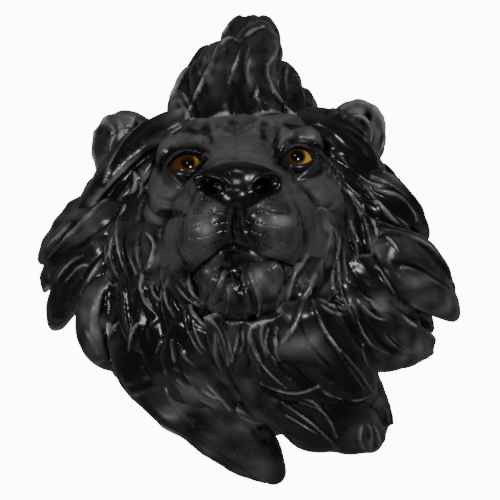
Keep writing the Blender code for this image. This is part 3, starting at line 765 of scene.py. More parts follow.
def face_grid(rows=236, columns=400):
    """Face points on rays that fan out round a bar from the back of the skull to the lips."""
    back_end, front_end = np.array(FACE_BAR)
    axis = (front_end - back_end) / np.linalg.norm(front_end - back_end)
    across = np.array((1.0, 0.0, 0.0))
    upward = np.cross(across, axis)
    upward *= np.sign(upward[2])
    turn = np.linspace(0, 2 * math.pi, columns, endpoint=False)
    around = np.cos(turn)[:, None] * upward + np.sin(turn)[:, None] * across
    cap_rows = int(rows * 0.38)
    lift = np.linspace(0, 1, cap_rows + 1)[1:] * math.pi / 2
    cap = np.cos(lift)[:, None, None] * axis + np.sin(lift)[:, None, None] * around
    sides = np.broadcast_to(around, (rows - cap_rows, columns, 3))
    along = np.linspace(0, 1, rows - cap_rows + 1)[1:] ** 1.25
    origins = np.concatenate([np.repeat(front_end[None], cap_rows, 0),
                              front_end + along[:, None] * (back_end - front_end)])[:, None]
    headings = np.concatenate([cap, sides])
    grid = reach_surface(origins.astype(np.float32), headings.astype(np.float32), face_distance, 190.0)
    pole = reach_surface(front_end, axis[None], face_distance, 190.0)[0]
    return grid.astype(float), pole, back_end


def on_face(pixel, sink):
    """The point of the smooth face that is seen at a pixel, sunk by some mm along the sight."""
    across, down = pixel[0] - PICTURE_SIDE / 2, pixel[1] - PICTURE_SIDE / 2
    heading = BACK * PIXELS_PER_MM * VIEW_DISTANCE - RIGHT * across + UP * down
    heading /= np.linalg.norm(heading)
    start = (BACK - heading) * VIEW_DISTANCE * FLIP
    heading = heading * FLIP
    return reach_surface(start[None], heading[None], face_distance, 300.0)[0] - sink * heading


def satin_and_sheen_patches(places):
    """The most that any patch of satin grey and painted sheen gives at each place."""
    most = np.zeros(len(places))
    for centre, half_sizes, amount in SATIN_AND_SHEEN_PATCHES:
        off = (places - np.array(centre, float)) / np.array(half_sizes, float)
        most = np.maximum(most, amount * bell(np.hypot(off[:, 0], off[:, 1]), 1.2))
    return most


def grid_normals(grid, centre_line):
    """Unit normals of a grid that closes round its columns, pointing away from a centre."""
    along = np.gradient(grid, axis=0)
    around = np.roll(grid, -1, 1) - np.roll(grid, 1, 1)
    normals = np.cross(along, around)
    normals /= np.linalg.norm(normals, axis=-1, keepdims=True) + 1e-9
    flip = np.sign((normals * (grid - centre_line)).sum(-1, keepdims=True))
    return normals * np.where(flip == 0, 1, flip)


def nostril_depth(places, centre, half_sizes, turn):
    """Depth of a nostril: a flat-floored pit, with a raised rim just outside it."""
    angle = math.radians(turn)
    offset = places - np.array(centre, float)
    along = offset[:, 0] * math.cos(angle) + offset[:, 1] * math.sin(angle)
    over = offset[:, 1] * math.cos(angle) - offset[:, 0] * math.sin(angle)
    radius = np.hypot(along / half_sizes[0], over / half_sizes[1])
    return NOSTRIL_DEPTH * np.exp(-(radius / 0.86) ** 5) - 1.5 * bell(radius - 1.16, 0.2)


def nose_share(places):
    """1 on the nose: between its bowed top edge and the V that it narrows to below."""
    off = np.abs(places[:, 0] - NOSE_MIDDLE) / NOSE_HALF_WIDTH
    top = NOSE_TOP + 15 * off ** 2
    foot = NOSE_FOOT - 20 * off ** 1.3
    inside = np.minimum(np.minimum(places[:, 1] - top, foot - places[:, 1]),
                        (1 - off) * NOSE_HALF_WIDTH)
    return ease(inside / 2.4)


def whisker_pits(places):
    """Small pits in rows that fan out over both whisker pads, each pit a little off its row."""
    draw = np.random.default_rng(40)
    depth = np.zeros(len(places))
    for side, start_x in WHISKER_STARTS:
        for row, (start_y, slope) in enumerate(WHISKER_ROWS):
            run = WHISKER_GAP * np.arange(WHISKER_PITS) + 2 * (row % 2)
            run = run + draw.uniform(-0.8, 0.8, WHISKER_PITS)
            x = start_x + side * run * 0.95
            y = start_y + slope * run + draw.uniform(-0.8, 0.8, WHISKER_PITS)
            gap = np.hypot(places[:, :1] - x, places[:, 1:] - y)
            depth += (0.7 * bell(gap, 0.95)).sum(1)
    return depth


def make_face(material):
    """The face: the merged forms, then its carving, pushed in or out along the surface."""
    grid, pole, back_end = face_grid()
    normals = grid_normals(grid, np.array(FACE_MIDDLE))
    points, normals = grid.reshape(-1, 3), normals.reshape(-1, 3)
    turned = normals * FLIP
    facing = ease((turned @ BACK + 0.15) / 0.3) * ease((points[:, 1] - 60) / 20)
    places = seen(points)
    push = np.zeros(len(points))
    push += line_heights(places, RIDGES) - line_heights(places, CREASES)
    nose = nose_share(places)
    push += NOSE_RISE * nose
    for centre, half_sizes, turn in NOSTRILS:
        push -= nostril_depth(places, centre, half_sizes, turn)
    push -= whisker_pits(places)
    brow = bell((places[:, 1] - 133) / 14, 1) * ease((points[:, 1] - 70) / 20)
    push += 0.3 * brow * waves(points, 9, 11)
    push += 0.35 * waves(points, 26, 12) + 0.12 * waves(points, 7, 13)
    points = points + normals * (push * facing)[:, None]
    raised = -stand_out(*closed_tube(points.reshape(grid.shape), pole, back_end), passes=12)[:-2]

    # behind the opening of the lids the skin drops back along the line of sight
    opened = np.zeros(len(points))
    for side, opening in zip((-1, 1), OPENINGS):
        centre = np.array((side * EYE_X, EYE_OUT, EYE_Z))
        inside = ease(opening_depth(places, *opening) / 1.3) * (points[:, 1] > 70)
        sight = BACK * FLIP
        offset = points - centre
        lead = offset @ sight
        off_axis = (offset ** 2).sum(1) - lead ** 2
        floor = np.sqrt(np.clip(SOCKET_RADIUS ** 2 - off_axis, 0, None))
        points += sight * ((floor - lead) * inside)[:, None]
        opened = np.maximum(opened, inside)

    lower = ease((places[:, 1] - 254) / 14)
    satin_and_sheen = 1 - 0.9 * lower
    # painted shade: round the eyes, in creases and under the crest the satin grey is taken away, which
    # also makes the paint glossier
    for centre, half_sizes, amount in FACE_GLOSS_AND_SHADE:
        off = (places - np.array(centre, float)) / np.array(half_sizes, float)
        satin_and_sheen -= amount * ease(2.7 - 2 * np.hypot(off[:, 0], off[:, 1]))
    # painted sheen: the patches raise the satin grey
    satin_and_sheen = np.maximum(satin_and_sheen * (1 + 0.25 * waves(points, 22, 14)), satin_and_sheen_patches(places))
    # painted light and shade: raised places get more satin grey and hollows less; none on the nose
    satin_and_sheen = np.clip(satin_and_sheen + 0.4 * np.clip(raised / 0.4, -1.0, 0.6), 0, 1) * (1 - nose)
    grid = points.reshape(grid.shape)
    part = closed_tube(grid, pole, back_end)
    satin_and_sheen = np.concatenate([satin_and_sheen, [0.2, 0.2]])
    # painted highlights where a patch passes 0.9
    edge = np.concatenate([0.5 * np.clip(satin_and_sheen_patches(places) - 0.9, 0, 1), [0.0, 0.0]])
    make_piece("face_cast", [part], material, "lion_head",
               satin_and_sheen=satin_and_sheen, marks={"edge": edge})


# Locks

def lock_part(root, via, tip, width, thickness, strands, seed, rows=72, over=44, under=12):
    """One lock: a broad slab swept along a parabola from its root to its blunt tip.

    Across the slab the outer side is an arch with a scoop down its middle. Strands lie on it like
    shingles: each climbs slowly from one side and drops off sharply at the other.
    """
    draw = np.random.default_rng(seed)
    root, via, tip = (np.array(point, float) for point in (root, via, tip))
    handle = 2 * via - (root + tip) / 2
    length = np.linalg.norm(via - root) + np.linalg.norm(tip - via)
    drift, bend, lean = draw.uniform(-0.5, 0.5), draw.uniform(-1, 1), draw.uniform(-0.3, 0.3)
    scoop, facing = draw.uniform(0.05, 0.35), draw.choice((-1.0, 1.0))

    side_top = np.cos(np.linspace(0, math.pi, over, endpoint=False))
    side_under = -np.cos(np.linspace(0, math.pi, under, endpoint=False))
    across = np.concatenate([side_top, side_under])[None, :]
    top = (np.arange(over + under) < over)[None, :]
    share = np.linspace(0, 1, rows)[:, None]

    wander = (facing * across + 0.16 * np.sin(2.3 * math.pi * across + 9 * drift)
              + 0.14 * np.sin(2 * math.pi * (share * 0.9 + drift)))
    tooth = np.mod(strands * (wander + 1) / 2 + drift, 1.0)
    shingle = tooth ** 1.2 * (1 - ease((tooth - 0.8) / 0.2))
    edge = np.clip(1 - np.abs(across) ** 6, 0, 1)
    reach = 1 - 0.16 * (1 - tooth) ** 2 * edge * top
    along = share * reach

    curve = (root * ((1 - along) ** 2)[..., None] + handle * (2 * along * (1 - along))[..., None]
             + tip * (along ** 2)[..., None])
    heading = (handle - root) * (1 - along)[..., None] + (tip - handle) * along[..., None]
    heading /= np.linalg.norm(heading, axis=-1, keepdims=True)
    outward = (curve - MANE_AXIS) * MANE_TURN
    outward -= heading * (outward * heading).sum(-1, keepdims=True)
    outward /= np.linalg.norm(outward, axis=-1, keepdims=True)
    sideways = np.cross(heading, outward)
    turn = (lean * along)[..., None]
    outward, sideways = (outward * np.cos(turn) + sideways * np.sin(turn),
                         sideways * np.cos(turn) - outward * np.sin(turn))

    rise = 0.75 + 0.25 * np.sin(np.clip(along / 0.4, 0, 1) * math.pi / 2)
    fall = np.clip((along - 0.4) / 0.6, 0, 1)
    size = rise * np.sqrt(np.clip(1 - fall ** 2.4, 0, 1)) + 0.01
    ripple = 1 + 0.07 * np.sin(2 * math.pi * (along * 1.7 + drift)) * np.sign(across)
    fade = ease(along / 0.4) * 0.7 + 0.3

    arch = np.clip(1 - np.abs(across) ** 3, 0, 1) ** 0.6
    arch = arch - scoop * (1 - across ** 2) ** 2 * np.sin(math.pi * along)
    belly = -0.9 * np.clip(1 - across ** 2, 0, 1) ** 0.8
    height = np.where(top, arch, belly) * thickness / 2 * size ** 0.8
    height = height + np.where(top, STRAND_RISE * (shingle - 0.35) * fade * edge * size, 0)
    sway = bend * 0.04 * length * np.sin(2 * math.pi * along) * np.sin(math.pi * along)
    grid = (curve + sideways * (across * width / 2 * size * ripple + sway)[..., None]
            + outward * height[..., None])
    grid[..., 1] = np.maximum(grid[..., 1], 0.6)
    first, last = grid[0].mean(0), grid[-1].mean(0)
    return closed_tube(grid, first, last)


def foot_locks():
    """The short locks round the foot of the mound: shares of the way to its rim, swept round."""
    for number in range(FOOT_LOCKS):
        points = []
        for reach, out, sweep in zip(FOOT_REACH, FOOT_OUT, FOOT_SWEEP):
            angle = math.radians(360 / FOOT_LOCKS * number + (sweep if number % 2 else -sweep))
            points.append((FOOT_CENTRE_X + reach * FOOT_WIDTH * math.cos(angle), out,
                           FOOT_CENTRE_Z + reach * FOOT_HEIGHT * math.sin(angle)))
        yield (*points, *FOOT_SIZE)


def fuse(parts, grain, passes):
    """The points and triangles of closed tubes grown into one skin, then softened."""
    mesh = bpy.data.meshes.new("raw")
    points, triangles = join(parts)
    mesh.from_pydata(points, [], triangles)
    raw = bpy.data.objects.new("raw", mesh)
    bpy.context.scene.collection.objects.link(raw)
    skin = raw.modifiers.new("skin", "REMESH")
    skin.mode, skin.voxel_size = "VOXEL", grain
    smooth = raw.modifiers.new("smooth", "SMOOTH")
    smooth.factor, smooth.iterations = 0.5, passes
    grown = raw.evaluated_get(bpy.context.evaluated_depsgraph_get()).to_mesh()
    grown.calc_loop_triangles()
    points = np.empty((len(grown.vertices), 3), np.float32)
    grown.vertices.foreach_get("co", points.ravel())
    triangles = np.empty((len(grown.loop_triangles), 3), np.int32)
    grown.loop_triangles.foreach_get("vertices", triangles.ravel())
    bpy.data.objects.remove(raw)
    return points.astype(float), triangles


def surface_normals(points, triangles):
    """Unit normals at points: the sum of the crosses of their triangles' edges."""
    corners = points[triangles]
    crosses = np.cross(corners[:, 1] - corners[:, 0], corners[:, 2] - corners[:, 0])
    normals = np.stack([np.bincount(triangles.ravel(), np.repeat(crosses[:, axis], 3), len(points))
                        for axis in range(3)], -1)
    return normals / (np.linalg.norm(normals, axis=1, keepdims=True) + 1e-12)


def stand_out(points, triangles, passes=5):
    """How far each point stands out of a smoothed copy of its surface, in mm."""
    edges = np.concatenate([triangles[:, [0, 1]], triangles[:, [1, 2]], triangles[:, [2, 0]]])
    count = np.bincount(edges[:, 0], minlength=len(points))[:, None]
    smooth = points
    for _ in range(passes):
        smooth = np.stack([np.bincount(edges[:, 0], smooth[edges[:, 1], axis], len(points))
                           for axis in range(3)], -1) / count
    return ((points - smooth) * surface_normals(points, triangles)).sum(1)


def make_fur(name, points, triangles, material, seed, roughening=0.45, sheen=0.0):
    """One piece of fur: ridges and hollows are pushed into a skin, with painted sheen from the patches,
    painted highlights on its ridges and painted shade in its hollows.
    """
    normals = surface_normals(points, triangles)
    push = roughening * waves(points, 21, seed) + 0.06 * waves(points, 7, seed + 1)
    facing = ease((normals * FLIP) @ BACK / 0.35)
    push += facing * (line_heights(seen(points), FUR_RIDGES) - line_heights(seen(points), FUR_VALLEYS))
    points = points + normals * push[:, None]
    points[:, 1] = np.maximum(points[:, 1], 0.4)
    raised = stand_out(points, triangles)
    # painted sheen from the patches, only on skin that is turned toward the view
    patches = np.maximum(satin_and_sheen_patches(seen(points)), sheen)
    patches *= ease(facing + 0.5) * (0.8 + 0.35 * waves(points, 17, seed + 2))
    # painted shade: hollows lose their satin grey
    satin_and_sheen = np.clip(patches - 0.6 * ease(-raised / 0.5), 0, 1)
    # painted highlights on ridges, and where a patch passes 0.9
    edge = ease(raised / 0.5 - 0.35) * (0.65 + 0.4 * waves(points, 30, seed + 4))
    edge = np.maximum(edge, 0.5 * np.clip(patches - 0.9, 0, 1))
    make_piece(name, [(points, triangles[:, ::-1])], material, "lion_head",
               satin_and_sheen=satin_and_sheen, marks={"edge": edge})


def make_locks(name, locks, material, seed, grain=MANE_GRAIN, roughening=0.45, ceiling=None):
    """One piece of the mane: a group of locks grown together."""
    parts = [lock_part(*lock, seed + number) for number, lock in enumerate(locks)]
    points, triangles = fuse(parts, grain, MANE_SOFTENING)
    if ceiling is not None:
        broken = ceiling + 1.4 * waves(points * (1, 1, 0), 14, seed + 3)
        points[:, 2] = np.minimum(points[:, 2], broken + 0.15 * (points[:, 2] - broken))
    make_fur(name, points, triangles, material, seed, roughening)


def make_chin(material):
    """The fur of the chin, its locks laid on the face."""
    locks = [(*(on_face(pixel, sink) for pixel, sink in zip(lock[:3], CHIN_SINK)), *lock[3:])
             for lock in CHIN_FUR]
    make_locks("chin_fur", locks, material, 800, grain=0.8, roughening=0.3)


def to_circle(turn, rise, radius):
    """How far a ray goes from a point to a circle around it, the circle's middle rise above it."""
    return rise * np.sin(turn) + np.sqrt(radius ** 2 - (rise * np.cos(turn)) ** 2)


def slot_rings(turn, middle):
    """Rings of the flat back from its middle's rays in to the hanging slot, and down its walls.

    A circle round both middles comes first. Its places are then seen from the slot's middle, and
    along each of those rays the outline is a straight side, or the half circle at that end.
    """
    reach = to_circle(turn, BACK_CIRCLE_Z - middle, BACK_CIRCLE_RADIUS)
    x, z = reach * np.cos(turn), middle + reach * np.sin(turn)
    rings = [np.stack([x, 0 * x, z], -1)]
    ray = np.arctan2(z - SLOT_Z, x)
    half_run, radius = (SLOT_LENGTH - SLOT_WIDTH) / 2, SLOT_WIDTH / 2
    steps = ((SLOT_EDGE, 0), (0, SLOT_EDGE), (0, SLOT_DEPTH - SLOT_EDGE), (-SLOT_EDGE, SLOT_DEPTH))
    for growth, out in steps:
        side = (radius + growth) / np.maximum(np.abs(np.cos(ray)), 1e-6)
        on_side = side * np.abs(np.sin(ray)) <= half_run
        ends = to_circle(np.where(on_side, math.pi / 2, np.abs(ray)), half_run, radius + growth)
        reach = np.where(on_side, side, ends)
        rings.append(np.stack([reach * np.cos(ray), out + 0 * ray, SLOT_Z + reach * np.sin(ray)], -1))
    return np.stack(rings)


def make_mound(material, rows=100, columns=200):
    """The mound under the mane: rays from the wall out to the merged ovals, flat behind its slot."""
    centre = np.array(MOUND_MIDDLE)
    turn = np.linspace(0, 2 * math.pi, columns, endpoint=False)
    lift = np.linspace(0, math.pi / 2, rows + 1)[1:, None]
    headings = np.stack([np.sin(lift) * np.cos(turn), np.cos(lift) * np.ones(columns),
                         np.sin(lift) * np.sin(turn)], -1)
    grid = reach_surface(centre[None, None], headings, mound_distance, 240.0)
    normals = grid_normals(grid, centre)
    stripes = np.sin(turn * 46 + 3.0 * waves(grid, 60, 21)) * ease((grid[..., 1] - 8) / 14)
    grid += normals * (1.3 * stripes + 0.6 * waves(grid, 12, 22) * ease(grid[..., 1] / 10))[..., None]
    grid[-1, :, 1] = 0.0
    grid[..., 1] = np.maximum(grid[..., 1], 0.0)
    grid = np.concatenate([grid, slot_rings(turn, centre[2])])
    pole = reach_surface(centre, np.array([[0.0, 1.0, 0.0]]), mound_distance, 240.0)[0]
    part = closed_tube(grid, pole, np.array((0.0, SLOT_DEPTH, SLOT_Z)))
    make_piece("mane_mound", [part], material, "lion_head", satin_and_sheen=0.3)


# Ears

def make_ear(name, centre, half_width, half_height, thickness, turn, material, rows=110, columns=150):
    """A cup: round its middle plane the height is a thick rim, a valley, an inner fold and a hollow."""
    side = -1 if centre[0] < 0 else 1
    spin = np.linspace(0, 2 * math.pi, columns, endpoint=False)[None, :]
    share = np.linspace(0, 2, rows + 1)[1:-1, None]
    front = share < 1
    radius = np.sin(np.where(front, share, 2 - share) * math.pi / 2)
    fold_side = ease(0.5 + 0.6 * np.cos(spin - math.radians(50)))
    height = (0.95 * bell(radius - 0.86, 0.15) + 0.75 * fold_side * bell(radius - 0.5, 0.11)
              - 0.25 * bell(radius - 0.67, 0.09) - 0.55 * bell(radius, 0.42))
    edge = np.sqrt(np.clip(1 - radius ** 6, 0, 1))
    height = np.where(front, height * edge, -0.85 * np.sqrt(np.clip(1 - radius ** 2, 0, 1)))
    angle = math.radians(turn)
    across = np.array((math.cos(angle), math.sin(angle), 0.0)) * side
    ahead = np.array((math.sin(angle), math.cos(angle), 0.0))
    upward = np.array((0.0, 0.0, 1.0))
    grid = (np.array(centre) + across * (radius * half_width * np.cos(spin))[..., None]
            + upward * (radius * half_height * np.sin(spin))[..., None]
            + ahead * (height * thickness * EAR_CUP)[..., None])
    grid += ahead * (0.6 * waves(grid.reshape(-1, 3), 13, 31).reshape(grid.shape[:2]))[..., None]
    points, triangles = closed_tube(grid, grid[0].mean(0), grid[-1].mean(0))
    # painted sheen over the whole ear, stronger on the right one
    make_fur(name, points, triangles[:, ::-1], material, 900, roughening=0.3, sheen=1.5 + 0.4 * side)


# Eyes

def gaze(side, pixels):
    """The points of an eyeball that are seen at pixels, as directions from the ball's centre."""
    centre = np.array((side * EYE_X, EYE_OUT, EYE_Z))
    spot = seen(centre[None])[0]
    scale = PIXELS_PER_MM * VIEW_DISTANCE / (VIEW_DISTANCE - (centre * FLIP) @ BACK)
    offset = (np.atleast_2d(pixels) - spot) / scale
    toward = np.sqrt(np.clip(EYE_RADIUS ** 2 - (offset ** 2).sum(1), 1.0, None))
    heading = (RIGHT * offset[:, :1] - UP * offset[:, 1:] + BACK * toward[:, None]) * FLIP
    return heading / np.linalg.norm(heading, axis=1, keepdims=True)


def make_lids(name, side, opening, material, rows=180, columns=28):
    """The rims of both lids: one closed ring that runs round the eyeball along the opening."""
    outer, inner, rise, drop = opening
    outer, length, along, downward = opening_axes(outer, inner)
    turn = np.linspace(0, 2 * math.pi, rows, endpoint=False)
    share = 0.5 - 0.5 * np.cos(turn)
    upper = turn < math.pi
    bow = np.sin(math.pi * share ** LID_SKEW)
    height = np.where(upper, -rise * np.clip(bow, 0, 1) ** LID_ROUNDNESS, drop * np.clip(bow, 0, 1))
    pixels = outer + share[:, None] * length * along + height[:, None] * downward
    heading = gaze(side, pixels)
    heading = (np.roll(heading, 1, 0) + heading + np.roll(heading, -1, 0)) / 3
    centre = np.array((side * EYE_X, EYE_OUT, EYE_Z))
    onward = np.roll(heading, -1, 0) - np.roll(heading, 1, 0)
    onward /= np.linalg.norm(onward, axis=1, keepdims=True)
    sideways = np.cross(heading, onward)
    thick = LID_THICKNESS * (0.75 + 0.25 * np.clip(bow, 0, 1))
    thick *= np.where(upper, LID_FULLNESS["upper"], LID_FULLNESS["lower"])
    spin = np.linspace(0, 2 * math.pi, columns, endpoint=False)
    grid = (centre + heading[:, None] * (EYE_RADIUS + 0.5 + 0.7 * thick[:, None] * np.cos(spin))[..., None]
            + sideways[:, None] * (thick[:, None] * np.sin(spin))[..., None])
    part = outwards(grid.reshape(-1, 3), grid_triangles(rows, columns, rows))
    make_piece(name, [part], material, "lion_head", satin_and_sheen=0.1)


def make_eye(name, replaced, side, pixel, material, rows=64, columns=96):
    """A glass eye: a ball about the pupil's direction, with the cornea's low swell."""
    centre = np.array((side * EYE_X, EYE_OUT, EYE_Z))
    ahead = gaze(side, pixel)[0]
    across = np.cross((0.0, 0.0, 1.0), ahead)
    across /= np.linalg.norm(across)
    upward = np.cross(ahead, across)
    lift = np.linspace(0, math.pi, rows + 2)[1:-1, None]
    spin = np.linspace(0, 2 * math.pi, columns, endpoint=False)[None, :]
    radius = EYE_RADIUS + CORNEA_RISE * bell(lift, 0.6) - CORNEA_RISE
    heading = (ahead * np.cos(lift)[..., None] * np.ones((1, columns, 1))
               + across * (np.sin(lift) * np.cos(spin))[..., None]
               + upward * (np.sin(lift) * np.sin(spin))[..., None])
    grid = centre + heading * radius[..., None]
    part = closed_tube(grid, centre + ahead * EYE_RADIUS, centre - ahead * (EYE_RADIUS - CORNEA_RISE))
    lifted = np.concatenate([np.repeat(lift[:, 0], columns), [0.0, math.pi]])
    spun = np.concatenate([np.tile(spin[0], rows), [0.0, 0.0]])
    make_piece(name, [part], material, replaced,
               marks={"from_pupil": lifted, "fibre_x": np.cos(spun), "fibre_z": np.sin(spun)})


# Materials

class Wire:
    """A number out of a node, on which sums and products add Math nodes."""

    def __init__(self, paint, socket):
        self.paint, self.socket = paint, socket

    def _math(self, operation, first, second):
        made = self.paint.node("ShaderNodeMath", {"operation": operation}, {0: first, 1: second})
        return self.paint.wire(made)

    def __add__(self, other):
        return self._math("ADD", self, other)

    __radd__ = __add__

    def __mul__(self, other):
        return self._math("MULTIPLY", self, other)

    __rmul__ = __mul__

    def __sub__(self, other):
        return self._math("SUBTRACT", self, other)

    def __rsub__(self, other):
        return self._math("SUBTRACT", other, self)

    def __pow__(self, other):
        return self._math("POWER", self, other)

    def at_least(self, other):
        """The greater of two numbers."""
        return self._math("MAXIMUM", self, other)

    def climb(self, low, high):
        """0 below low, 1 above high and a smooth climb between."""
        settings = {"interpolation_type": "SMOOTHSTEP"}
        made = self.paint.node("ShaderNodeMapRange", settings, {"Value": self, 1: low, 2: high})
        return self.paint.wire(made)


class Nodes:
    """A tree of shader nodes, and the one way in which a node or a link is added to it."""

    def __init__(self, tree):
        self.tree = tree

    def node(self, kind, settings=None, sockets=None):
        """Add a node: its settings first, then a value or a link for each of its sockets."""
        made = self.tree.nodes.new(kind)
        for key, value in (settings or {}).items():
            setattr(made, key, value)
        for key, value in (sockets or {}).items():
            self.feed(made.inputs[key], value)
        return made

    def feed(self, socket, value):
        """Put a value or a link on a socket."""
        if isinstance(value, Wire):
            value = value.socket
        if isinstance(value, bpy.types.NodeSocket):
            self.tree.links.new(value, socket)
        else:
            socket.default_value = value

    def wire(self, made, output=0):
        """An output of a node as a number to reckon with."""
        return Wire(self, made.outputs[output])


class Paint(Nodes):
    """A material being mixed: its nodes, and the Principled shader that they feed."""

    def __init__(self, name):
        self.material = bpy.data.materials.new(name)
        self.material.use_nodes = True
        super().__init__(self.material.node_tree)
        self.shader = self.tree.nodes["Principled BSDF"]
        self.place = self.node("ShaderNodeTexCoord").outputs["Object"]

    def noise(self, scale, detail=3.0, roughness=0.5):
        """Cloudy noise over the mask, scale clouds to the metre."""
        made = self.node("ShaderNodeTexNoise", None, {"Vector": self.place, "Scale": scale,
                                                      "Detail": detail, "Roughness": roughness})
        return self.wire(made)

    def mark(self, label):
        """A number that the mesh holds at each point."""
        made = self.node("ShaderNodeAttribute", {"attribute_name": label})
        return self.wire(made, "Fac")

    def mix(self, share, first, second):
        """A colour between two."""
        made = self.node("ShaderNodeMix", {"data_type": "RGBA"}, {"Factor": share})
        self.feed(made.inputs[6], first)
        self.feed(made.inputs[7], second)
        return made.outputs[2]

    def bump(self, height, distance, strength=1.0, below=None):
        """A normal that a height tilts, on top of the normal below it."""
        sockets = {"Height": height, "Distance": distance, "Strength": strength}
        if below is not None:
            sockets["Normal"] = below
        return self.node("ShaderNodeBump", None, sockets).outputs["Normal"]

    def finish(self, **sockets):
        """Feed the shader, a socket by its name with underlines for spaces."""
        for key, value in sockets.items():
            self.feed(self.shader.inputs[key.replace("_", " ")], value)
        return self.material


def black_paint():
    """Black paint on cast resin: the satin grey gives painted sheen and its absence painted shade, ridges
    take painted highlights, and the paint is glossier where the grey is thin.
    """
    paint = Paint("black_paint")
    satin_and_sheen = paint.mark("satin_and_sheen")
    cloud = paint.noise(34, 4)
    grain = paint.noise(420, 3)
    bubbles = paint.wire(paint.node("ShaderNodeTexVoronoi", None, {"Vector": paint.place, "Scale": 210.0}))
    pits = bubbles.climb(0.10, 0.26)
    sparse = paint.noise(60, 2).climb(0.5, 0.62)
    edge = paint.mark("edge")
    mottle = paint.noise(110, 3)
    black = paint.mix(cloud, *PAINT_BLACKS)
    # painted sheen: the satin grey laid over the black by the share held at each point
    grey = paint.mix(satin_and_sheen * (0.2 + 0.6 * cloud + 1.0 * mottle), black, PAINT_SATIN_SHEEN)
    # painted highlights: light grey on ridges and on the strongest patches
    colour = paint.mix(edge * (0.2 + 1.2 * mottle), grey, PAINT_HIGHLIGHT)
    roughness = 0.22 + satin_and_sheen * 0.2 + (cloud - 0.5) * 0.12 + (grain - 0.5) * 0.08
    normal = paint.bump(grain, 0.00008, 0.35)
    normal = paint.bump(pits + (1 - pits) * (1 - sparse), 0.0005, 0.6, normal)
    return paint.finish(Base_Color=colour, Roughness=roughness, Normal=normal)


def amber_glass():
    """A painted iris under clear glass: dark pupil, amber fibres, a brown edge, and painted light: a glow
    on one side and shade towards the top.
    """
    paint = Paint("amber_glass")
    lift = paint.mark("from_pupil")
    fibres = paint.node("ShaderNodeCombineXYZ", None, {0: paint.mark("fibre_x") * 5.0,
                                                       1: paint.mark("fibre_z") * 5.0, 2: lift * 2.0})
    streaks = paint.wire(paint.node("ShaderNodeTexNoise", None,
                                    {"Vector": fibres.outputs[0], "Scale": 2.6, "Detail": 4.0}))
    # painted light: the amber glows towards +x and the bottom, as light through the glass would light it,
    # and painted shade under the lid darkens the top
    painted_glow_and_shade = (0.3 - paint.mark("fibre_x") * 0.9 - paint.mark("fibre_z") * 0.5) * lift.climb(0.25, 0.8)
    brown = paint.mix(streaks.climb(0.3, 0.75), *IRIS_BROWNS)
    amber = paint.mix(painted_glow_and_shade.climb(0.1, 0.8) * (0.4 + streaks), brown, IRIS_AMBER)
    ringed = paint.mix(lift.climb(1.0, 1.25), amber, IRIS_RING)
    colour = paint.mix(1 - lift.climb(0.28, 0.42), ringed, PUPIL_BLACK)
    return paint.finish(Base_Color=colour, Roughness=0.4, Specular_IOR_Level=0.0,
                        Coat_Weight=1.0, Coat_Roughness=0.02)


# Studio

def plain(name, colour, roughness=0.8):
    """A matt material for the studio."""
    paint = Paint(name)
    return paint.finish(Base_Color=(*colour, 1.0), Roughness=roughness)


def soft_box(name, azimuth, elevation, distance, size, power):
    """A square area light that looks at the mask's face."""
    turn, lift = math.radians(azimuth), math.radians(elevation)
    spot = Vector((math.sin(turn) * math.cos(lift), -math.cos(turn) * math.cos(lift), math.sin(lift)))
    light = bpy.data.lights.new(name, "AREA")
    light.size, light.energy = size, power
    lamp = bpy.data.objects.new(name, light)
    lamp.location = spot * distance + Vector((0, -0.08, 0))
    lamp.rotation_euler = spot.to_track_quat("Z", "Y").to_euler()
    bpy.context.scene.collection.objects.link(lamp)


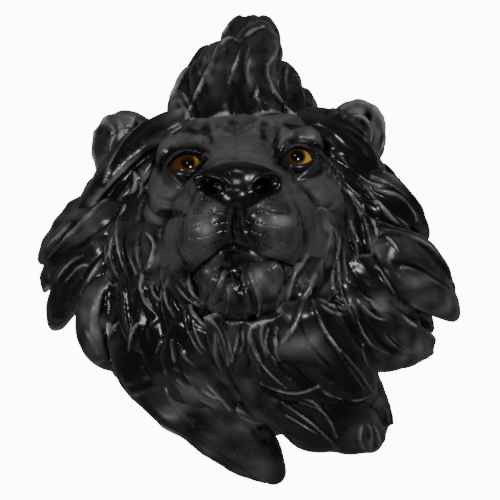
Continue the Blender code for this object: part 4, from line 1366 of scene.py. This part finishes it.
def make_studio():
    """A pale floor, a white surround that is dimmer on the viewer's side, and soft lights."""
    mesh = bpy.data.meshes.new("floor")
    corners = [(x * FLOOR_HALF, y * FLOOR_HALF, FLOOR_LEVEL)
               for x, y in ((-1, -1), (1, -1), (1, 1), (-1, 1))]
    mesh.from_pydata(corners, [], [(0, 1, 2, 3)])
    mesh.materials.append(plain("floor_paint", (0.8, 0.8, 0.8)))
    floor = bpy.data.objects.new("floor", mesh)
    bpy.context.scene.collection.objects.link(floor)

    world = bpy.data.worlds.new("studio")
    bpy.context.scene.world = world
    world.use_nodes = True
    sky = Nodes(world.node_tree)
    place = sky.node("ShaderNodeTexCoord").outputs["Generated"]
    axis = sky.node("ShaderNodeSeparateXYZ", None, {0: place})
    glow = sky.wire(sky.node("ShaderNodeMapRange", None, {
        0: axis.outputs["Y"], 1: 0.0, 2: 0.85, 3: GLOW_BEFORE, 4: GLOW_BEHIND}))
    seen_by_camera = sky.wire(sky.node("ShaderNodeLightPath"), "Is Camera Ray")
    ground = sky.tree.nodes["Background"]
    sky.feed(ground.inputs["Strength"], glow.at_least(seen_by_camera * GLOW_SEEN))
    sky.feed(ground.inputs["Color"], (1.0, 1.0, 1.0, 1.0))

    for light in LIGHTS:
        soft_box(*light)


def make_camera():
    """The camera at the photograph's view, with the lens that gives its scale."""
    data = bpy.data.cameras.new("camera")
    data.sensor_width = SENSOR_WIDTH
    data.lens = PIXELS_PER_MM * VIEW_DISTANCE / PICTURE_SIDE * SENSOR_WIDTH
    camera = bpy.data.objects.new("camera", data)
    turn = Matrix((RIGHT, UP, BACK)).transposed().to_4x4()
    camera.matrix_world = Matrix.Translation(Vector(BACK) * VIEW_DISTANCE * MM) @ turn
    bpy.context.scene.collection.objects.link(camera)
    bpy.context.scene.camera = camera


make_camera()
make_studio()
BLACK = black_paint()
AMBER = amber_glass()
make_face(BLACK)
make_mound(BLACK)
make_chin(BLACK)
make_locks("mane_crest", CREST, BLACK, 100, ceiling=195.5)
make_locks("mane_bands", BANDS, BLACK, 200, roughening=0.25)
make_locks("mane_left", LEFT_SIDE, BLACK, 300)
make_locks("mane_right", RIGHT_SIDE, BLACK, 400)
make_locks("mane_beard", BEARD, BLACK, 500)
make_locks("mane_cheeks", CHEEKS, BLACK, 600)
make_locks("mane_foot", foot_locks(), BLACK, 700, grain=2.6)
for ear, sizes in EARS.items():
    make_ear("ear_" + ear, *sizes, BLACK)
for number, (eye, spot) in enumerate(GAZE_PIXELS.items()):
    make_eye("glass_eye_" + eye, "eye_" + eye, 2 * number - 1, spot, AMBER)
    make_lids("eyelids_" + eye, 2 * number - 1, OPENINGS[number], BLACK)
